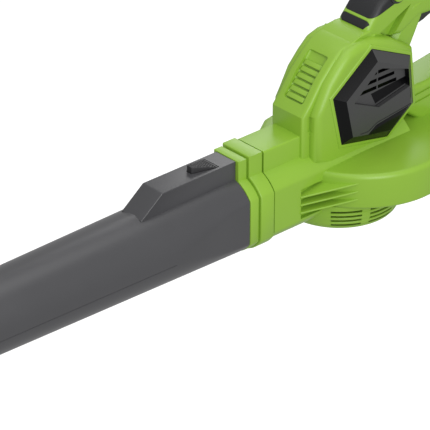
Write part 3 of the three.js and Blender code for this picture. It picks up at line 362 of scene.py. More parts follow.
box_outline = [
    (TUBE_REAR_Y, BOX_ROOT_Z), (TUBE_REAR_Y, BOX_TOP_Z), (BOX_FRONT_Y, BOX_TOP_Z), (BOX_FOOT_Y, 78),
    (BOX_FOOT_Y, BOX_ROOT_Z),
]
box_bm = outline_solid(box_outline, -BOX_HALF, BOX_HALF)
sides = [f for f in box_bm.faces if abs(f.normal.x) > 0.9]
bmesh.ops.inset_individual(box_bm, faces=sides, thickness=1.7, depth=0)
for f in sides:
    bmesh.ops.translate(box_bm, verts=list(f.verts), vec=(-0.7 * math.copysign(1, f.normal.x), 0, 0))
soften(box_bm, 1.1, 3, chosen=lambda middle, e: middle.z > 80 and abs(middle.x) > BOX_HALF - 0.4
       or abs(middle.x) < 1 and middle.y < TUBE_REAR_Y - 5 and middle.z > 80)
BOX_SINK = 0.8
bore_bm = cylinder(tube_radius(BOX_FOOT_Y) - BOX_SINK, BOX_FOOT_Y - 5, TUBE_REAR_Y + 5, (0, DUCT_AXIS_Z), "y", 72,
                   DUCT_RADIUS - BOX_SINK)
button_plan = [
    (BUTTON_HALF, BUTTON_REAR_Y), (BUTTON_HALF, BUTTON_REAR_Y - 3), (BUTTON_TIP_HALF, BUTTON_FRONT_Y),
    (-BUTTON_TIP_HALF, BUTTON_FRONT_Y), (-BUTTON_HALF, BUTTON_REAR_Y - 3), (-BUTTON_HALF, BUTTON_REAR_Y),
]
pocket_plan = [
    (math.copysign(abs(x) + POCKET_GAP, x), y + (POCKET_GAP if y > BUTTON_REAR_Y - 1 else -POCKET_GAP))
    for x, y in button_plan
]
pocket_bm = outline_solid(pocket_plan, 83, BOX_TOP_Z + 5, "z")
box_bm = combined(box_bm, [bore_bm, pocket_bm])
add_piece("tube_latch_box", box_bm, tube_plastic, "tube", sharp=30)

# ---------------------------------------------------------------- release button
# A black wedge with a cross-ribbed thumb face, high at the front and flush at the rear, sprung in the latch box.
BUTTON_TOP_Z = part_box("tube_release_button")[1].z / MM
BUTTON_SKIRT_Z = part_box("tube_release_button")[0].z / MM
BUTTON_RIBS = 9
RIBS_REAR_Y = BUTTON_REAR_Y - 3
button_black = plastic("button_black_plastic", (0.022, 0.022, 0.024), 0.42, grain=0.3, grain_scale=1100)
BUTTON_REAR_Z = BOX_TOP_Z + 0.6
button_bm = outline_solid(button_plan, BUTTON_SKIRT_Z, BUTTON_REAR_Z, "z")


def button_height(y):
    share = (BUTTON_REAR_Y - y) / (BUTTON_REAR_Y - BUTTON_FRONT_Y)
    return BUTTON_REAR_Z + (BUTTON_TOP_Z - BUTTON_REAR_Z) * share


for v in button_bm.verts:
    if v.co.z > BOX_TOP_Z:
        v.co.z = button_height(v.co.y) - 0.5
soften(button_bm, 0.8, 3, chosen=lambda middle, e: middle.z > BOX_TOP_Z - 12)
for i in range(BUTTON_RIBS):
    y = RIBS_REAR_Y - i * (RIBS_REAR_Y - BUTTON_FRONT_Y - 2) / (BUTTON_RIBS - 1)
    share = (RIBS_REAR_Y - y) / (RIBS_REAR_Y - BUTTON_FRONT_Y)
    half = BUTTON_HALF + (BUTTON_TIP_HALF - BUTTON_HALF) * share - 1.1
    rib = bmesh.ops.create_cube(button_bm, size=1)["verts"]
    bmesh.ops.scale(button_bm, vec=(2 * half, 1.1, 1.0), verts=rib)
    bmesh.ops.translate(button_bm, verts=rib, vec=(0, y, button_height(y) - 0.5))
add_piece("release_button", button_bm, button_black, "tube_button", ["tube_release_button"])
steel = bpy.data.materials.new("bright_zinc_steel")
steel.use_nodes = True
steel_tree = steel.node_tree
steel_shader = steel_tree.nodes["Principled BSDF"]
steel_shader.inputs["Base Color"].default_value = (0.6, 0.61, 0.62, 1)
steel_shader.inputs["Metallic"].default_value = 1.0
steel_noise = steel_tree.nodes.new("ShaderNodeTexNoise")
steel_noise.inputs["Scale"].default_value = 400
steel_range = steel_tree.nodes.new("ShaderNodeMapRange")
steel_range.inputs["To Min"].default_value = 0.22
steel_range.inputs["To Max"].default_value = 0.42
steel_place = steel_tree.nodes.new("ShaderNodeTexCoord")
node_link(steel_tree, steel_place.outputs["Object"], steel_noise.inputs["Vector"])
node_link(steel_tree, steel_noise.outputs["Fac"], steel_range.inputs["Value"])
node_link(steel_tree, steel_range.outputs["Result"], steel_shader.inputs["Roughness"])

# ---------------------------------------------------------------- collar
# The green collar that the tube's spigot slides into: a low front band and a prouder one behind it, with a groove
# between them and another before the duct. It carries the same box on top as the duct.
GREEN = (0.25, 0.45, 0.036)
green_plastic = plastic("lime_green_plastic", GREEN, 0.36, grain=0.1, mottle=0.035)
green_inner = plastic("green_inner_plastic", (0.17, 0.34, 0.035), 0.5, grain=0.1)
collar_low, collar_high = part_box("collar")
COLLAR_FRONT_Y = collar_low.y / MM
COLLAR_REAR_Y = collar_high.y / MM
COLLAR_BOX_HALF = 16.3
COLLAR_BOX_TOP_Z = 97.4
GROOVE = 1.7
FRONT_BAND = 10.0
COLLAR_BORE = 30.2
ARC_STEPS = 22
SHOULDER_STEPS = 8


def duct_arc(radius, start, end, steps):
    """Points (x, z) of an arc about the duct's axis, angles in radians."""
    angles = [start + (end - start) * i / steps for i in range(steps + 1)]
    return [(radius * math.cos(angle), DUCT_AXIS_Z + radius * math.sin(angle)) for angle in angles]


def duct_outline(grow, box_half, box_top):
    """The duct's cross-section in (x, z): a circle with flat sides and a box on its crown."""
    radius = DUCT_RADIUS + grow
    flat = math.acos((DUCT_FLAT_HALF + grow) / radius)
    root = math.acos(box_half / radius)
    right = [(box_half, box_top), (box_half, DUCT_AXIS_Z + radius * math.sin(root))]
    right += duct_arc(radius, root, flat, SHOULDER_STEPS)[1:]
    right += duct_arc(radius, -flat, -math.pi / 2, ARC_STEPS)[:-1]
    return right + [(0, DUCT_AXIS_Z - radius)] + [(-x, z) for x, z in reversed(right)]


def band(grow, front, rear, edge):
    """A length of the collar, grown out from the duct's size, with both end edges rounded."""
    section = duct_outline(grow, COLLAR_BOX_HALF + grow, COLLAR_BOX_TOP_Z + grow)
    solid = outline_solid(section, front, rear, "y")
    return soften(solid, edge, 3, angle=50,
                  chosen=lambda middle, e: min(abs(middle.y - front), abs(middle.y - rear)) < 0.01)


collar_bore = cylinder(COLLAR_BORE, COLLAR_FRONT_Y - 1, COLLAR_REAR_Y + 1, (0, DUCT_AXIS_Z), "y", 80)
collar_bm = combined(band(0.4, COLLAR_FRONT_Y, COLLAR_FRONT_Y + FRONT_BAND, 0.7), [
    band(-1.6, COLLAR_FRONT_Y + 1, COLLAR_REAR_Y, 0.2),
    band(2.0, COLLAR_FRONT_Y + FRONT_BAND + GROOVE, COLLAR_REAR_Y - GROOVE, 1.2),
], "UNION")
collar_bm = combined(collar_bm, [collar_bore])
add_piece("tube_collar", collar_bm, green_plastic, "housing", ["collar"], sharp=38)

# ---------------------------------------------------------------- duct
# The air duct is moulded with the housing: a flat-sided barrel with a box on top that runs back to the tower, and a
# corner pocket on each side in front of the scroll. Its crown carries on under the tower.
DUCT_FRONT_Y = COLLAR_REAR_Y + 0.3
DUCT_BOX_HALF = 17.7
DUCT_BOX_TOP_Z = 98.0
SCROLL_TOP_Z = 64.0
duct_bm = outline_solid(duct_outline(0, DUCT_BOX_HALF, DUCT_BOX_TOP_Z), DUCT_FRONT_Y, -46, "y")
soften(duct_bm, 2.6, 4, angle=14, chosen=lambda middle, e: abs(middle.y + 79) < 5
       and (abs(abs(middle.x) - DUCT_FLAT_HALF) < 0.5 or middle.z > DUCT_BOX_TOP_Z - 0.5))
pockets = [cuboid(side * 28.5, side * 45, -79, -30, 22, 53) for side in (1, -1)]
duct_hollow = cylinder(36.5, DUCT_FRONT_Y - 1, -42, (0, DUCT_AXIS_Z), "y", 64)
duct_hollow = combined(duct_hollow, [cuboid(-27.5, 27.5, DUCT_FRONT_Y - 2, -41, 0, 82)], "INTERSECT")
duct_bm = combined(duct_bm, pockets + [duct_hollow])
add_piece("duct", duct_bm, green_plastic, "housing", sharp=30)
crown_low = SCROLL_TOP_Z - 3
crown_angle = math.acos(DUCT_FLAT_HALF / DUCT_RADIUS)
crown_arc = duct_arc(DUCT_RADIUS, crown_angle, math.pi - crown_angle, 24)
crown_outline = [(DUCT_FLAT_HALF, crown_low)] + crown_arc + [(-DUCT_FLAT_HALF, crown_low)]
crown_bm = outline_solid(crown_outline, -50, 62, "y")
soften(crown_bm, 2.6, 4, angle=14, chosen=lambda middle, e: abs(middle.y - 6) < 5 and middle.z > crown_low + 1)
add_piece("duct_crown", crown_bm, green_plastic, "housing", sharp=30)

# ---------------------------------------------------------------- scroll
# The fan chamber is a shallow round drum with a flat roof and a large rounded rim, set back and to the right of
# the fan's axis, with a neck that leads the air into the duct.
SCROLL_RADIUS = 89.0
SCROLL_CENTRE = (-2.0, 30.0)
SCROLL_BOTTOM_Z = 26.5
RIM_ROUND = 5.0
INLET_CLEAR_RADIUS = 62.6
THROAT_TOP_Z = 27.4
EYE_RADIUS = 40


def spun(profile, centre, steps):
    """A profile of (radius, z) points turned about a vertical axis; it starts and ends on the axis."""
    solid = bmesh.new()
    points = [solid.verts.new((r, 0, z)) for r, z in profile]
    edges = [solid.edges.new(pair) for pair in zip(points, points[1:])]
    bmesh.ops.spin(solid, geom=points + edges, cent=(0, 0, 0), axis=(0, 0, 1), angle=2 * math.pi, steps=steps,
                   use_merge=True)
    bmesh.ops.remove_doubles(solid, verts=solid.verts, dist=0.001)
    bmesh.ops.recalc_face_normals(solid, faces=solid.faces)
    bmesh.ops.translate(solid, verts=solid.verts, vec=(centre[0], centre[1], 0))
    return solid


def rounding(radius, z, round_radius, start, end, steps=6):
    """Profile points of a rounded corner whose centre is at (radius, z), angles in degrees."""
    return [(radius + round_radius * math.cos(math.radians(start + (end - start) * i / steps)),
             z + round_radius * math.sin(math.radians(start + (end - start) * i / steps)))
            for i in range(steps + 1)]


drum_profile = [(0, SCROLL_BOTTOM_Z)]
drum_profile += rounding(SCROLL_RADIUS - 3, SCROLL_BOTTOM_Z + 3, 3, -90, 0, 4)
drum_profile += rounding(SCROLL_RADIUS - RIM_ROUND, SCROLL_TOP_Z - 2 - RIM_ROUND, RIM_ROUND, 0, 86, 8)
drum_profile += [(44, SCROLL_TOP_Z), (0, SCROLL_TOP_Z)]
drum_bm = spun(drum_profile, SCROLL_CENTRE, 128)
NECK_FRONT_Y = -92
scroll_right_x = SCROLL_CENTRE[0] - SCROLL_RADIUS
neck_plan = [
    (scroll_right_x + 1, SCROLL_CENTRE[1]), (scroll_right_x + 10, -20), (-DUCT_FLAT_HALF, NECK_FRONT_Y),
    (-DUCT_FLAT_HALF + 6, NECK_FRONT_Y), (-DUCT_FLAT_HALF + 6, -40), SCROLL_CENTRE,
]
neck_bm = outline_solid(neck_plan, SCROLL_BOTTOM_Z, SCROLL_TOP_Z - 2, "z")
soften(neck_bm, 5, 5, chosen=lambda middle, e: middle.z > SCROLL_TOP_Z - 3 and middle.x < -34)
throat_profile = [
    (0, SCROLL_BOTTOM_Z - 2), (INLET_CLEAR_RADIUS, SCROLL_BOTTOM_Z - 2), (INLET_CLEAR_RADIUS, THROAT_TOP_Z),
    (0, THROAT_TOP_Z),
]
throat_bm = spun(throat_profile, (0, 0), 96)
eye_bm = cylinder(EYE_RADIUS, 20, 60, (0, 0), "z", 72)
drum_bm = combined(combined(drum_bm, [neck_bm], "UNION"), [throat_bm, eye_bm])
add_piece("fan_scroll", drum_bm, green_plastic, "housing", ["housing_left", "housing_right"],
          sharp=30)

# ---------------------------------------------------------------- corner fins
# Three thin fins bridge the pocket between the duct's left side and the scroll, rising towards the rear. They stop
# clear of the turning fan.
FIN_FRONT_Y = -80.0
FIN_REAR_Y = -33.0
FIN_THICKNESS = 1.8
FIN_RISE = 8.5
FIN_REAR_X = 61.3
LOWEST_FIN_Z = 27.6
FIN_PITCH = 8.2
fins_bm = bmesh.new()
for i in range(3):
    z = LOWEST_FIN_Z + i * FIN_PITCH
    fin = bmesh.ops.create_cube(fins_bm, size=1)["verts"]
    for v in fin:
        rear = v.co.y > 0
        inner = v.co.x < 0
        y = FIN_REAR_Y if rear else FIN_FRONT_Y
        outer_x = FIN_REAR_X if rear else DUCT_FLAT_HALF + 0.7
        v.co = Vector((DUCT_FLAT_HALF - 6 if inner else outer_x, y,
                       z + (FIN_RISE if rear else 0) + (FIN_THICKNESS if v.co.z > 0 else 0)))
soften(fins_bm, 0.5, 2, chosen=lambda middle, e: middle.x > DUCT_FLAT_HALF + 5)
fan_sweep = cylinder(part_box("impeller")[1].x / MM + 2, 15, 75, (0, 0), "z", 96)
fins_bm = combined(fins_bm, [fan_sweep])
add_piece("corner_fins", fins_bm, green_plastic, "housing")

# ---------------------------------------------------------------- inlet bowl
# The round dish under the scroll lets air in through four levels of slots. Solid rings alternate with the slots,
# ten upright posts join them and a plain wall closes the front.
BOWL_PROFILE = [(56, 0), (59, 6), (61, 14), (62, 24), (62, 26.2)]
BOWL_WALL = 2.6
FOOT_ROUND = 1.2
SLOT_PITCH = 4.9
SLOT_LEVELS = [3.6 + i * SLOT_PITCH for i in range(4)]
SLOT_HEIGHT = 2.2
BOWL_POSTS = 10
BOWL_POST_HALF_ANGLE = 4.0
FRONT_WALL_ANGLES = [-55.0 - i * 7.0 for i in range(11)]


def bowl_radius(z):
    for (r0, z0), (r1, z1) in zip(BOWL_PROFILE, BOWL_PROFILE[1:]):
        if z <= z1:
            return r0 + (r1 - r0) * (z - z0) / (z1 - z0)
    return BOWL_PROFILE[-1][0]


def bowl_ring(z0, z1):
    """One ring of the bowl's wall between two heights, with softened slot edges."""
    edge = 0.4
    profile = [(bowl_radius(z0) - BOWL_WALL, z0), (bowl_radius(z0) - edge, z0)]
    profile += [(bowl_radius(z0 + edge), z0 + edge)]
    profile += [(bowl_radius(z), z) for z in (6, 14, 24) if z0 + 1 < z < z1 - 1]
    profile += [(bowl_radius(z1 - edge), z1 - edge)]
    profile += [(bowl_radius(z1) - edge, z1), (bowl_radius(z1) - BOWL_WALL, z1)]
    solid = bmesh.new()
    points = [solid.verts.new((r, 0, z)) for r, z in profile]
    edges = [solid.edges.new(pair) for pair in zip(points, points[1:] + points[:1])]
    bmesh.ops.spin(solid, geom=points + edges, cent=(0, 0, 0), axis=(0, 0, 1), angle=2 * math.pi, steps=120,
                   use_merge=True)
    bmesh.ops.remove_doubles(solid, verts=solid.verts, dist=0.001)
    return solid


def poured(target, source):
    """Adds the source's solids to the target."""
    mesh = bpy.data.meshes.new("poured")
    bmesh.ops.recalc_face_normals(source, faces=source.faces)
    source.to_mesh(mesh)
    source.free()
    target.from_mesh(mesh)
    bpy.data.meshes.remove(mesh)
    return target


foot_profile = [(0, 0)] + rounding(56 - FOOT_ROUND, FOOT_ROUND, FOOT_ROUND, -90, 0, 4)
foot_profile += [(57, 2), (57.8, 3.6), (55, 3.6), (53, BOWL_WALL), (0, BOWL_WALL)]
bowl_bm = spun(foot_profile, (0, 0), 120)
tops = [z + SLOT_HEIGHT for z in SLOT_LEVELS]
for low, high in zip(tops, SLOT_LEVELS[1:] + [BOWL_PROFILE[-1][1]]):
    poured(bowl_bm, bowl_ring(low, high))
# Each place is an angle in degrees and how far the post's face lies under the rings'.
post_places = [((i + 0.5) * 360 / BOWL_POSTS, 0.25) for i in range(BOWL_POSTS)]
post_places += [(angle, 0.06) for angle in FRONT_WALL_ANGLES]
for middle_degrees, sink in post_places:
    middle_angle = math.radians(middle_degrees)
    post = bmesh.new()
    corners = []
    for z in (2.5, 6, 14, 24.5):
        for step in range(4):
            angle = middle_angle + math.radians(BOWL_POST_HALF_ANGLE) * (step / 1.5 - 1)
            corners.append((bowl_radius(z) - sink, angle, z))
            corners.append((bowl_radius(z) - BOWL_WALL + 0.2, angle, z))
    for radius, angle, z in corners:
        post.verts.new((radius * math.cos(angle), radius * math.sin(angle), z))
    bmesh.ops.convex_hull(post, input=post.verts)
    poured(bowl_bm, post)
add_piece("inlet_dish", bowl_bm, green_plastic, "housing", ["inlet_bowl"], sharp=30)

# ---------------------------------------------------------------- tower
# The motor tower rises from the duct's crown. Its front and top are one rounded shoulder; its sides hold the vent
# covers, and a narrower front panel stands proud of it below with a dark join line behind its flange.
TOWER_OUTLINE = [
    (-58, 70), (-58, 118), (-52, 128), (-42, 146), (-29.5, 159.3), (-17.5, 169.6), (-4, 173.6), (16, 173.4),
    (40, 166), (68, 148), (73, 90), (38, 61), (-42, 61),
]
TOWER_HALF = 30.0
SHOULDER = 8.0
NOSE_OUTLINE = [
    (-67, 72), (-67, 117), (-57.4, 128.2), (-44, 147), (-31, 160), (-19, 170), (-4, 174), (24, 174), (24, 72),
]
NOSE_HALF = 21.0
COVER_CORNERS = [(10, 166), (60, 143), (66, 92), (33, 68), (-26, 80), (-38, 131)]
COVER_GAP = 0.5
COVER_FACE_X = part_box("side_cover_left")[1].x / MM
SLOPE_START = Vector((-57.4, 128.2))
SLOPE_END = Vector((-31, 160))
slope_run = (SLOPE_END - SLOPE_START).normalized()
slope_out = Vector((-slope_run.y, slope_run.x))
SLOPE_LENGTH = (SLOPE_END - SLOPE_START).length
LOUVRE_HALF = 12.5
LOUVRE_LOW, LOUVRE_HIGH = -3.5, SLOPE_LENGTH + 5
LOUVRE_DEPTH = 3.2


def offset_outline(points, distance):
    """A convex outline moved outwards by a distance, its corners mitred."""
    area = sum(a * d - b * c for (a, b), (c, d) in zip(points, points[1:] + points[:1]))
    sense = math.copysign(1, area)
    moved = []
    for before, here, after in zip(points[-1:] + points[:-1], points, points[1:] + points[:1]):
        came = (Vector(here) - Vector(before)).normalized()
        goes = (Vector(after) - Vector(here)).normalized()
        out_a = Vector((came.y, -came.x)) * sense
        out_b = Vector((goes.y, -goes.x)) * sense
        mitre = (out_a + out_b).normalized()
        reach = Vector(here) + mitre * (distance / mitre.dot(out_a))
        moved.append((reach.x, reach.y))
    return moved


def on_slope(half, low, high, depth_in, depth_out, middle=0.0):
    """A block laid on the tower's front slope: low to high up it, from depth_in under it to depth_out."""
    corners = [SLOPE_START + slope_run * along + slope_out * out
               for along, out in ((low, -depth_in), (high, -depth_in), (high, depth_out), (low, depth_out))]
    return outline_solid([tuple(c) for c in corners], middle - half, middle + half)


tower_bm = outline_solid(TOWER_OUTLINE, -TOWER_HALF, TOWER_HALF)
soften(tower_bm, SHOULDER, 7, angle=60, chosen=lambda middle, e: abs(abs(middle.x) - TOWER_HALF) < 0.1
       and middle.z > 63 and e.calc_length() > 1 and (middle.y < 66 or middle.z < 120))
nose_bm = outline_solid(NOSE_OUTLINE, -NOSE_HALF, NOSE_HALF)
soften(nose_bm, 3.2, 5, angle=60,
       chosen=lambda middle, e: abs(abs(middle.x) - NOSE_HALF) < 0.1 and middle.y < 20)
tower_bm = combined(tower_bm, [nose_bm], "UNION")
side_wells = [outline_solid(offset_outline(COVER_CORNERS, COVER_GAP), *sorted((side * 24, side * 42)))
              for side in (1, -1)]
louvre_well = soften(on_slope(LOUVRE_HALF, LOUVRE_LOW, LOUVRE_HIGH, LOUVRE_DEPTH, 20), 2.5, 4, angle=60,
                     chosen=lambda middle, e: abs(abs(middle.x) - LOUVRE_HALF) < 0.1 and e.calc_length() > 15)
join_slots = [cuboid(*sorted((side * (NOSE_HALF - 1.2), side * 26)), -60.4, -57.2, 101, 116) for side in (1, -1)]
tower_bm = combined(tower_bm, side_wells + [louvre_well] + join_slots)
add_piece("motor_tower", tower_bm, green_plastic, "housing", sharp=35)

# ---------------------------------------------------------------- cover rims
# A rounded green lip, moulded with the housing, runs round each vent cover.
RIM_TOP_X = 31.0
RIM_WIDTH = 4.0
for side, name in ((1, "left"), (-1, "right")):
    low, high = sorted((side * 27.0, side * RIM_TOP_X))
    lip_bm = outline_solid(offset_outline(COVER_CORNERS, RIM_WIDTH), low, high)
    soften(lip_bm, 1.5, 3, angle=60, chosen=lambda middle, e: abs(abs(middle.x) - RIM_TOP_X) < 0.1)
    lip_bm = combined(lip_bm, [outline_solid(offset_outline(COVER_CORNERS, COVER_GAP), low - 2, high + 2)])
    add_piece(f"cover_rim_{name}", lip_bm, green_plastic, "housing", sharp=35)

# ---------------------------------------------------------------- front louvres
# Seven blind louvres in the tower's sloping front, each a rounded bar with a shadow gap above it, and a short open
# slit over the top one with a black plate behind it as painted shade.
LOUVRES = 7
LOUVRE_GAP = 0.3
LOUVRE_LIFT = 1.1
louvre_pitch = (LOUVRE_HIGH - LOUVRE_LOW - 3) / LOUVRES
louvre_bm = on_slope(LOUVRE_HALF - LOUVRE_GAP, LOUVRE_LOW + LOUVRE_GAP, LOUVRE_HIGH - LOUVRE_GAP,
                     LOUVRE_DEPTH + 2, -LOUVRE_DEPTH + 0.2)
for i in range(LOUVRES):
    start = LOUVRE_LOW + 1.6 + i * louvre_pitch
    bar = on_slope(LOUVRE_HALF - 1.4, start, start + louvre_pitch - 1.5, LOUVRE_DEPTH + 0.5, -1.3)
    for v in bar.verts:
        from_start = Vector((v.co.y, v.co.z)) - SLOPE_START
        if from_start.dot(slope_run) < start + 1 and from_start.dot(slope_out) > -2:
            v.co.y += slope_out.x * LOUVRE_LIFT
            v.co.z += slope_out.y * LOUVRE_LIFT
    soften(bar, 0.9, 3, angle=30)
    poured(louvre_bm, bar)
slit_start = LOUVRE_HIGH - 3.4
louvre_bm = combined(louvre_bm, [on_slope(5.6, slit_start, slit_start + 1.9, LOUVRE_DEPTH + 9, 3, 3.6)])
add_piece("front_louvres", louvre_bm, green_plastic, "housing", ["front_louvre_panel"], sharp=30)
# A black plate just behind the top slit, as painted shade for the dark hollow beyond it.
inner_black = plastic("slit_painted_shade_black", (0.012, 0.012, 0.013), 0.6, grain=0.1)
backing_bm = on_slope(9.5, slit_start - 2, slit_start + 4, LOUVRE_DEPTH + 4, -LOUVRE_DEPTH - 2.2)
add_piece("louvre_slit_painted_shade", backing_bm, inner_black, "housing")

# ---------------------------------------------------------------- vent covers
# A satin black six-sided cover on each side: a flat face inside a wide bevelled rim, with a recess whose floor is
# slotted, a deep ramp beside the slots, and a stepped groove above the gloss panel.
COVER_BASE_X = 27.0
COVER_SHOULDER_X = 31.0
BEVEL_WIDTH = 9.0
# The slots are rows of (rear end, front end, bottom, top), and the ramp is corners of (y, z, depth).
VENT_RECESS = [(13, 148), (52, 134.5), (54, 116), (14, 107.5), (-18, 122)]
VENT_DEPTH = 5.0
VENT_ROWS = [(-7, 41, 124.2, 127.8), (1, 38, 131.8, 135.2), (9, 46, 139.4, 142.8)]
DIVIDER_Y = 16.0
DIVIDER_HALF = 0.8
RAMP = [(8, 121.5, 1.5), (53.3, 125, 5.5), (54, 117.5, 0.2), (14, 109.5, 0.2)]
EDGE_STEP = 0.05
STEP_LINE = [(-9, 87.4), (1, 86.9), (12.3, 92.3), (56, 97.1)]
STEP_WIDTH = 0.9
cover_black = plastic("cover_black_plastic", (0.045, 0.045, 0.046), 0.34, grain=0.22, grain_scale=1300)


def mirrored_solid(solid):
    bmesh.ops.scale(solid, vec=(-1, 1, 1), verts=solid.verts)
    bmesh.ops.recalc_face_normals(solid, faces=solid.faces)
    return solid


def groove_cutter(line, width, x0, x1):
    """A channel that follows a line of (y, z) points, from x0 to x1."""
    upper = [(y - width * 0.3, z + width / 2) for y, z in line]
    lower = [(y + width * 0.3, z - width / 2) for y, z in reversed(line)]
    return outline_solid(upper + lower, x0, x1)


def vent_cover():
    """The left cover: a hexagon raised to a smaller flat face, then cut for its recess, slots and grooves."""
    cover = outline_solid(COVER_CORNERS, COVER_BASE_X, COVER_SHOULDER_X)
    top = [f for f in cover.faces if f.normal.x > 0.9]
    bmesh.ops.inset_region(cover, faces=top, thickness=EDGE_STEP, depth=0, use_even_offset=True)
    grown = bmesh.ops.extrude_face_region(cover, geom=top)["geom"]
    bmesh.ops.delete(cover, geom=top, context="FACES")
    raised = [f for f in grown if isinstance(f, bmesh.types.BMFace)]
    inner = offset_outline(COVER_CORNERS, -BEVEL_WIDTH)
    outer = offset_outline(COVER_CORNERS, -EDGE_STEP)
    for v in {v for f in raised for v in f.verts}:
        here = Vector((v.co.y, v.co.z))
        nearest = min(range(len(outer)), key=lambda i: (Vector(outer[i]) - here).length)
        v.co = Vector((COVER_FACE_X, *inner[nearest]))
    soften(cover, 0.7, 3, angle=15, chosen=lambda middle, e: middle.x > COVER_SHOULDER_X - 1)
    floor_x = COVER_FACE_X - VENT_DEPTH
    recess = soften(outline_solid(VENT_RECESS, floor_x, COVER_FACE_X + 4), 0.8, 2, angle=40,
                    chosen=lambda middle, e: middle.x < COVER_FACE_X)
    ramp = outline_solid([(y, z) for y, z, _ in RAMP], floor_x - 6, COVER_FACE_X + 1)
    for v in ramp.verts:
        if v.co.x < floor_x:
            v.co.x = floor_x - min(RAMP, key=lambda corner: (Vector(corner[:2]) - v.co.yz).length)[2]
    bmesh.ops.recalc_face_normals(ramp, faces=ramp.faces)
    notch = cuboid(COVER_FACE_X - 3, COVER_FACE_X + 2, 55.2, 56.6, 103, 113)
    cover = combined(cover, [recess])
    slots = [cuboid(floor_x - 6, floor_x + 1, *span, z0, z1) for y0, y1, z0, z1 in VENT_ROWS
             for span in ((y0, DIVIDER_Y - DIVIDER_HALF), (DIVIDER_Y + DIVIDER_HALF, y1))]
    step = groove_cutter(STEP_LINE, STEP_WIDTH, COVER_FACE_X - STEP_WIDTH, COVER_FACE_X + 1)
    return combined(cover, slots + [ramp, notch, step])


# The forward-facing bevels, the ramp and the recess's rear wall get a far darker black with less sheen, as painted
# shade; the rest is satin.
cover_shade_black = plastic("cover_painted_shade", (0.004, 0.004, 0.0045), 0.3, grain=0.05)
cover_shade_black.node_tree.nodes["Principled BSDF"].inputs["Specular IOR Level"].default_value = 0.14
for side, name in ((1, "left"), (-1, "right")):
    cover_bm = vent_cover() if side > 0 else mirrored_solid(vent_cover())
    cover = add_piece(f"vent_cover_{name}", cover_bm, cover_black, "housing", [f"side_cover_{name}"],
                      sharp=24)
    cover.data.materials.append(cover_shade_black)
    for polygon in cover.data.polygons:
        forward, out = polygon.normal.y, abs(polygon.normal.x)
        x, y = abs(polygon.center.x) / MM, polygon.center.y / MM
        on_bevel = forward < -0.12 and 0.2 < out < 0.97 and x > 30.5
        in_ramp = 28.5 < x < COVER_FACE_X - VENT_DEPTH - 0.1 and y > -20
        on_rear_wall = forward < -0.6 and x > 32.5 and y > 30
        if on_bevel or in_ramp or on_rear_wall:
            polygon.material_index = 1

# ---------------------------------------------------------------- gloss panels
# A polished black inlay fills the lower rear corner of each cover, over its flat face and down its bevel.
gloss_black = plastic("gloss_black_plastic", (0.003, 0.003, 0.0035), 0.16, grain=0.0, mottle=0.02)
gloss_black.node_tree.nodes["Principled BSDF"].inputs["Specular IOR Level"].default_value = 0.22
GLOSS_FACE = [(0.5, 83.2), (11.5, 90.2), (53.5, 95.6), (30.8, 78.0)]
for side, name in ((1, "left"), (-1, "right")):
    gloss_bm = outline_solid(GLOSS_FACE, COVER_FACE_X - 0.6, COVER_FACE_X + 0.25)
    soften(gloss_bm, 0.2, 2, chosen=lambda middle, e: middle.x > COVER_FACE_X)
    facet = bmesh.new()
    inner = offset_outline(COVER_CORNERS, -BEVEL_WIDTH)
    rim = offset_outline(COVER_CORNERS, -0.6)
    facet_foot_x = COVER_SHOULDER_X + 0.5
    for (y, z), x in ((inner[2], COVER_FACE_X), (inner[3], COVER_FACE_X), (rim[3], facet_foot_x),
                      (rim[2], facet_foot_x)):
        facet.verts.new((x + 0.25, y, z))
        facet.verts.new((x - 0.8, y, z))
    bmesh.ops.convex_hull(facet, input=facet.verts)
    gloss_bm = poured(gloss_bm, facet)
    if side < 0:
        mirrored_solid(gloss_bm)
    add_piece(f"gloss_inlay_{name}", gloss_bm, gloss_black, "housing", [f"gloss_panel_{name}"])

# ---------------------------------------------------------------- handle frame
# The D-handle is part of the green housing: a curved grip bar over a faceted front strut, a grooved lower arm and
# an upright dock for the battery. A three-cornered recess in each flank of the grip borders the strut, and a low
# fairing carries the tower's crown up to the grip.
GRIP_OUTLINE = [
    (12, 168), (15, 181), (32, 200), (54, 212), (90, 220), (138, 220), (170, 211), (186, 196), (186, 150),
    (152, 150), (146, 168), (84, 171), (60, 160),
]
GRIP_HALF = 20.0
GRIP_ROUND = 6.5
SKIN_THICKNESS = 2.2
SKIN_REGION = [(8, 184), (54, 197), (120, 201), (152, 198), (172, 188), (192, 186), (192, 230), (8, 230)]
STRUT_OUTLINE = [
    (36, 120), (40, 150), (50, 150), (71, 189), (87, 191), (91, 172), (78, 134), (68, 96), (40, 96),
]
STRUT_HALF = 14.5
STRUT_SPREAD = 0.44
STRUT_WAIST_Z = 134
STRUT_RISE = 54
SIDE_RECESS = [(31, 171.5), (46, 160), (71, 189)]
SIDE_RECESS_DEPTH = 7.0
ARM_OUTLINE = [(50, 72), (50, 101), (95, 98), (152, 106), (152, 58), (92, 58), (74, 72)]
DOCK_OUTLINE = [(148, 56), (148, 172), (171, 172), (171, 56)]
FAIRING_OUTLINE = [(-26, 163), (-12, 171.5), (2, 176), (12.2, 177.8), (28, 178), (28, 160), (-26, 160)]
FAIRING_SPREAD = 1.12
trigger_low, trigger_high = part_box("trigger")
lock_low, lock_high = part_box("lock_button")
LOCK_Y = (lock_low.y + lock_high.y) / 2 / MM
LOCK_Z = (lock_low.z + lock_high.z) / 2 / MM
LOCK_HOLE = 10.8
LOCK_HOLE_DEPTH = 9.5
TRIGGER_SLOT_HALF = 9


def grip_form(inset):
    """The whole rounded grip, its surface taken in by the inset."""
    outline = offset_outline(GRIP_OUTLINE, -inset) if inset else GRIP_OUTLINE
    form = outline_solid(outline, -GRIP_HALF + inset, GRIP_HALF - inset)
    return soften(form, GRIP_ROUND - inset, 6, angle=60,
                  chosen=lambda middle, e: abs(abs(middle.x) - GRIP_HALF + inset) < 0.1)


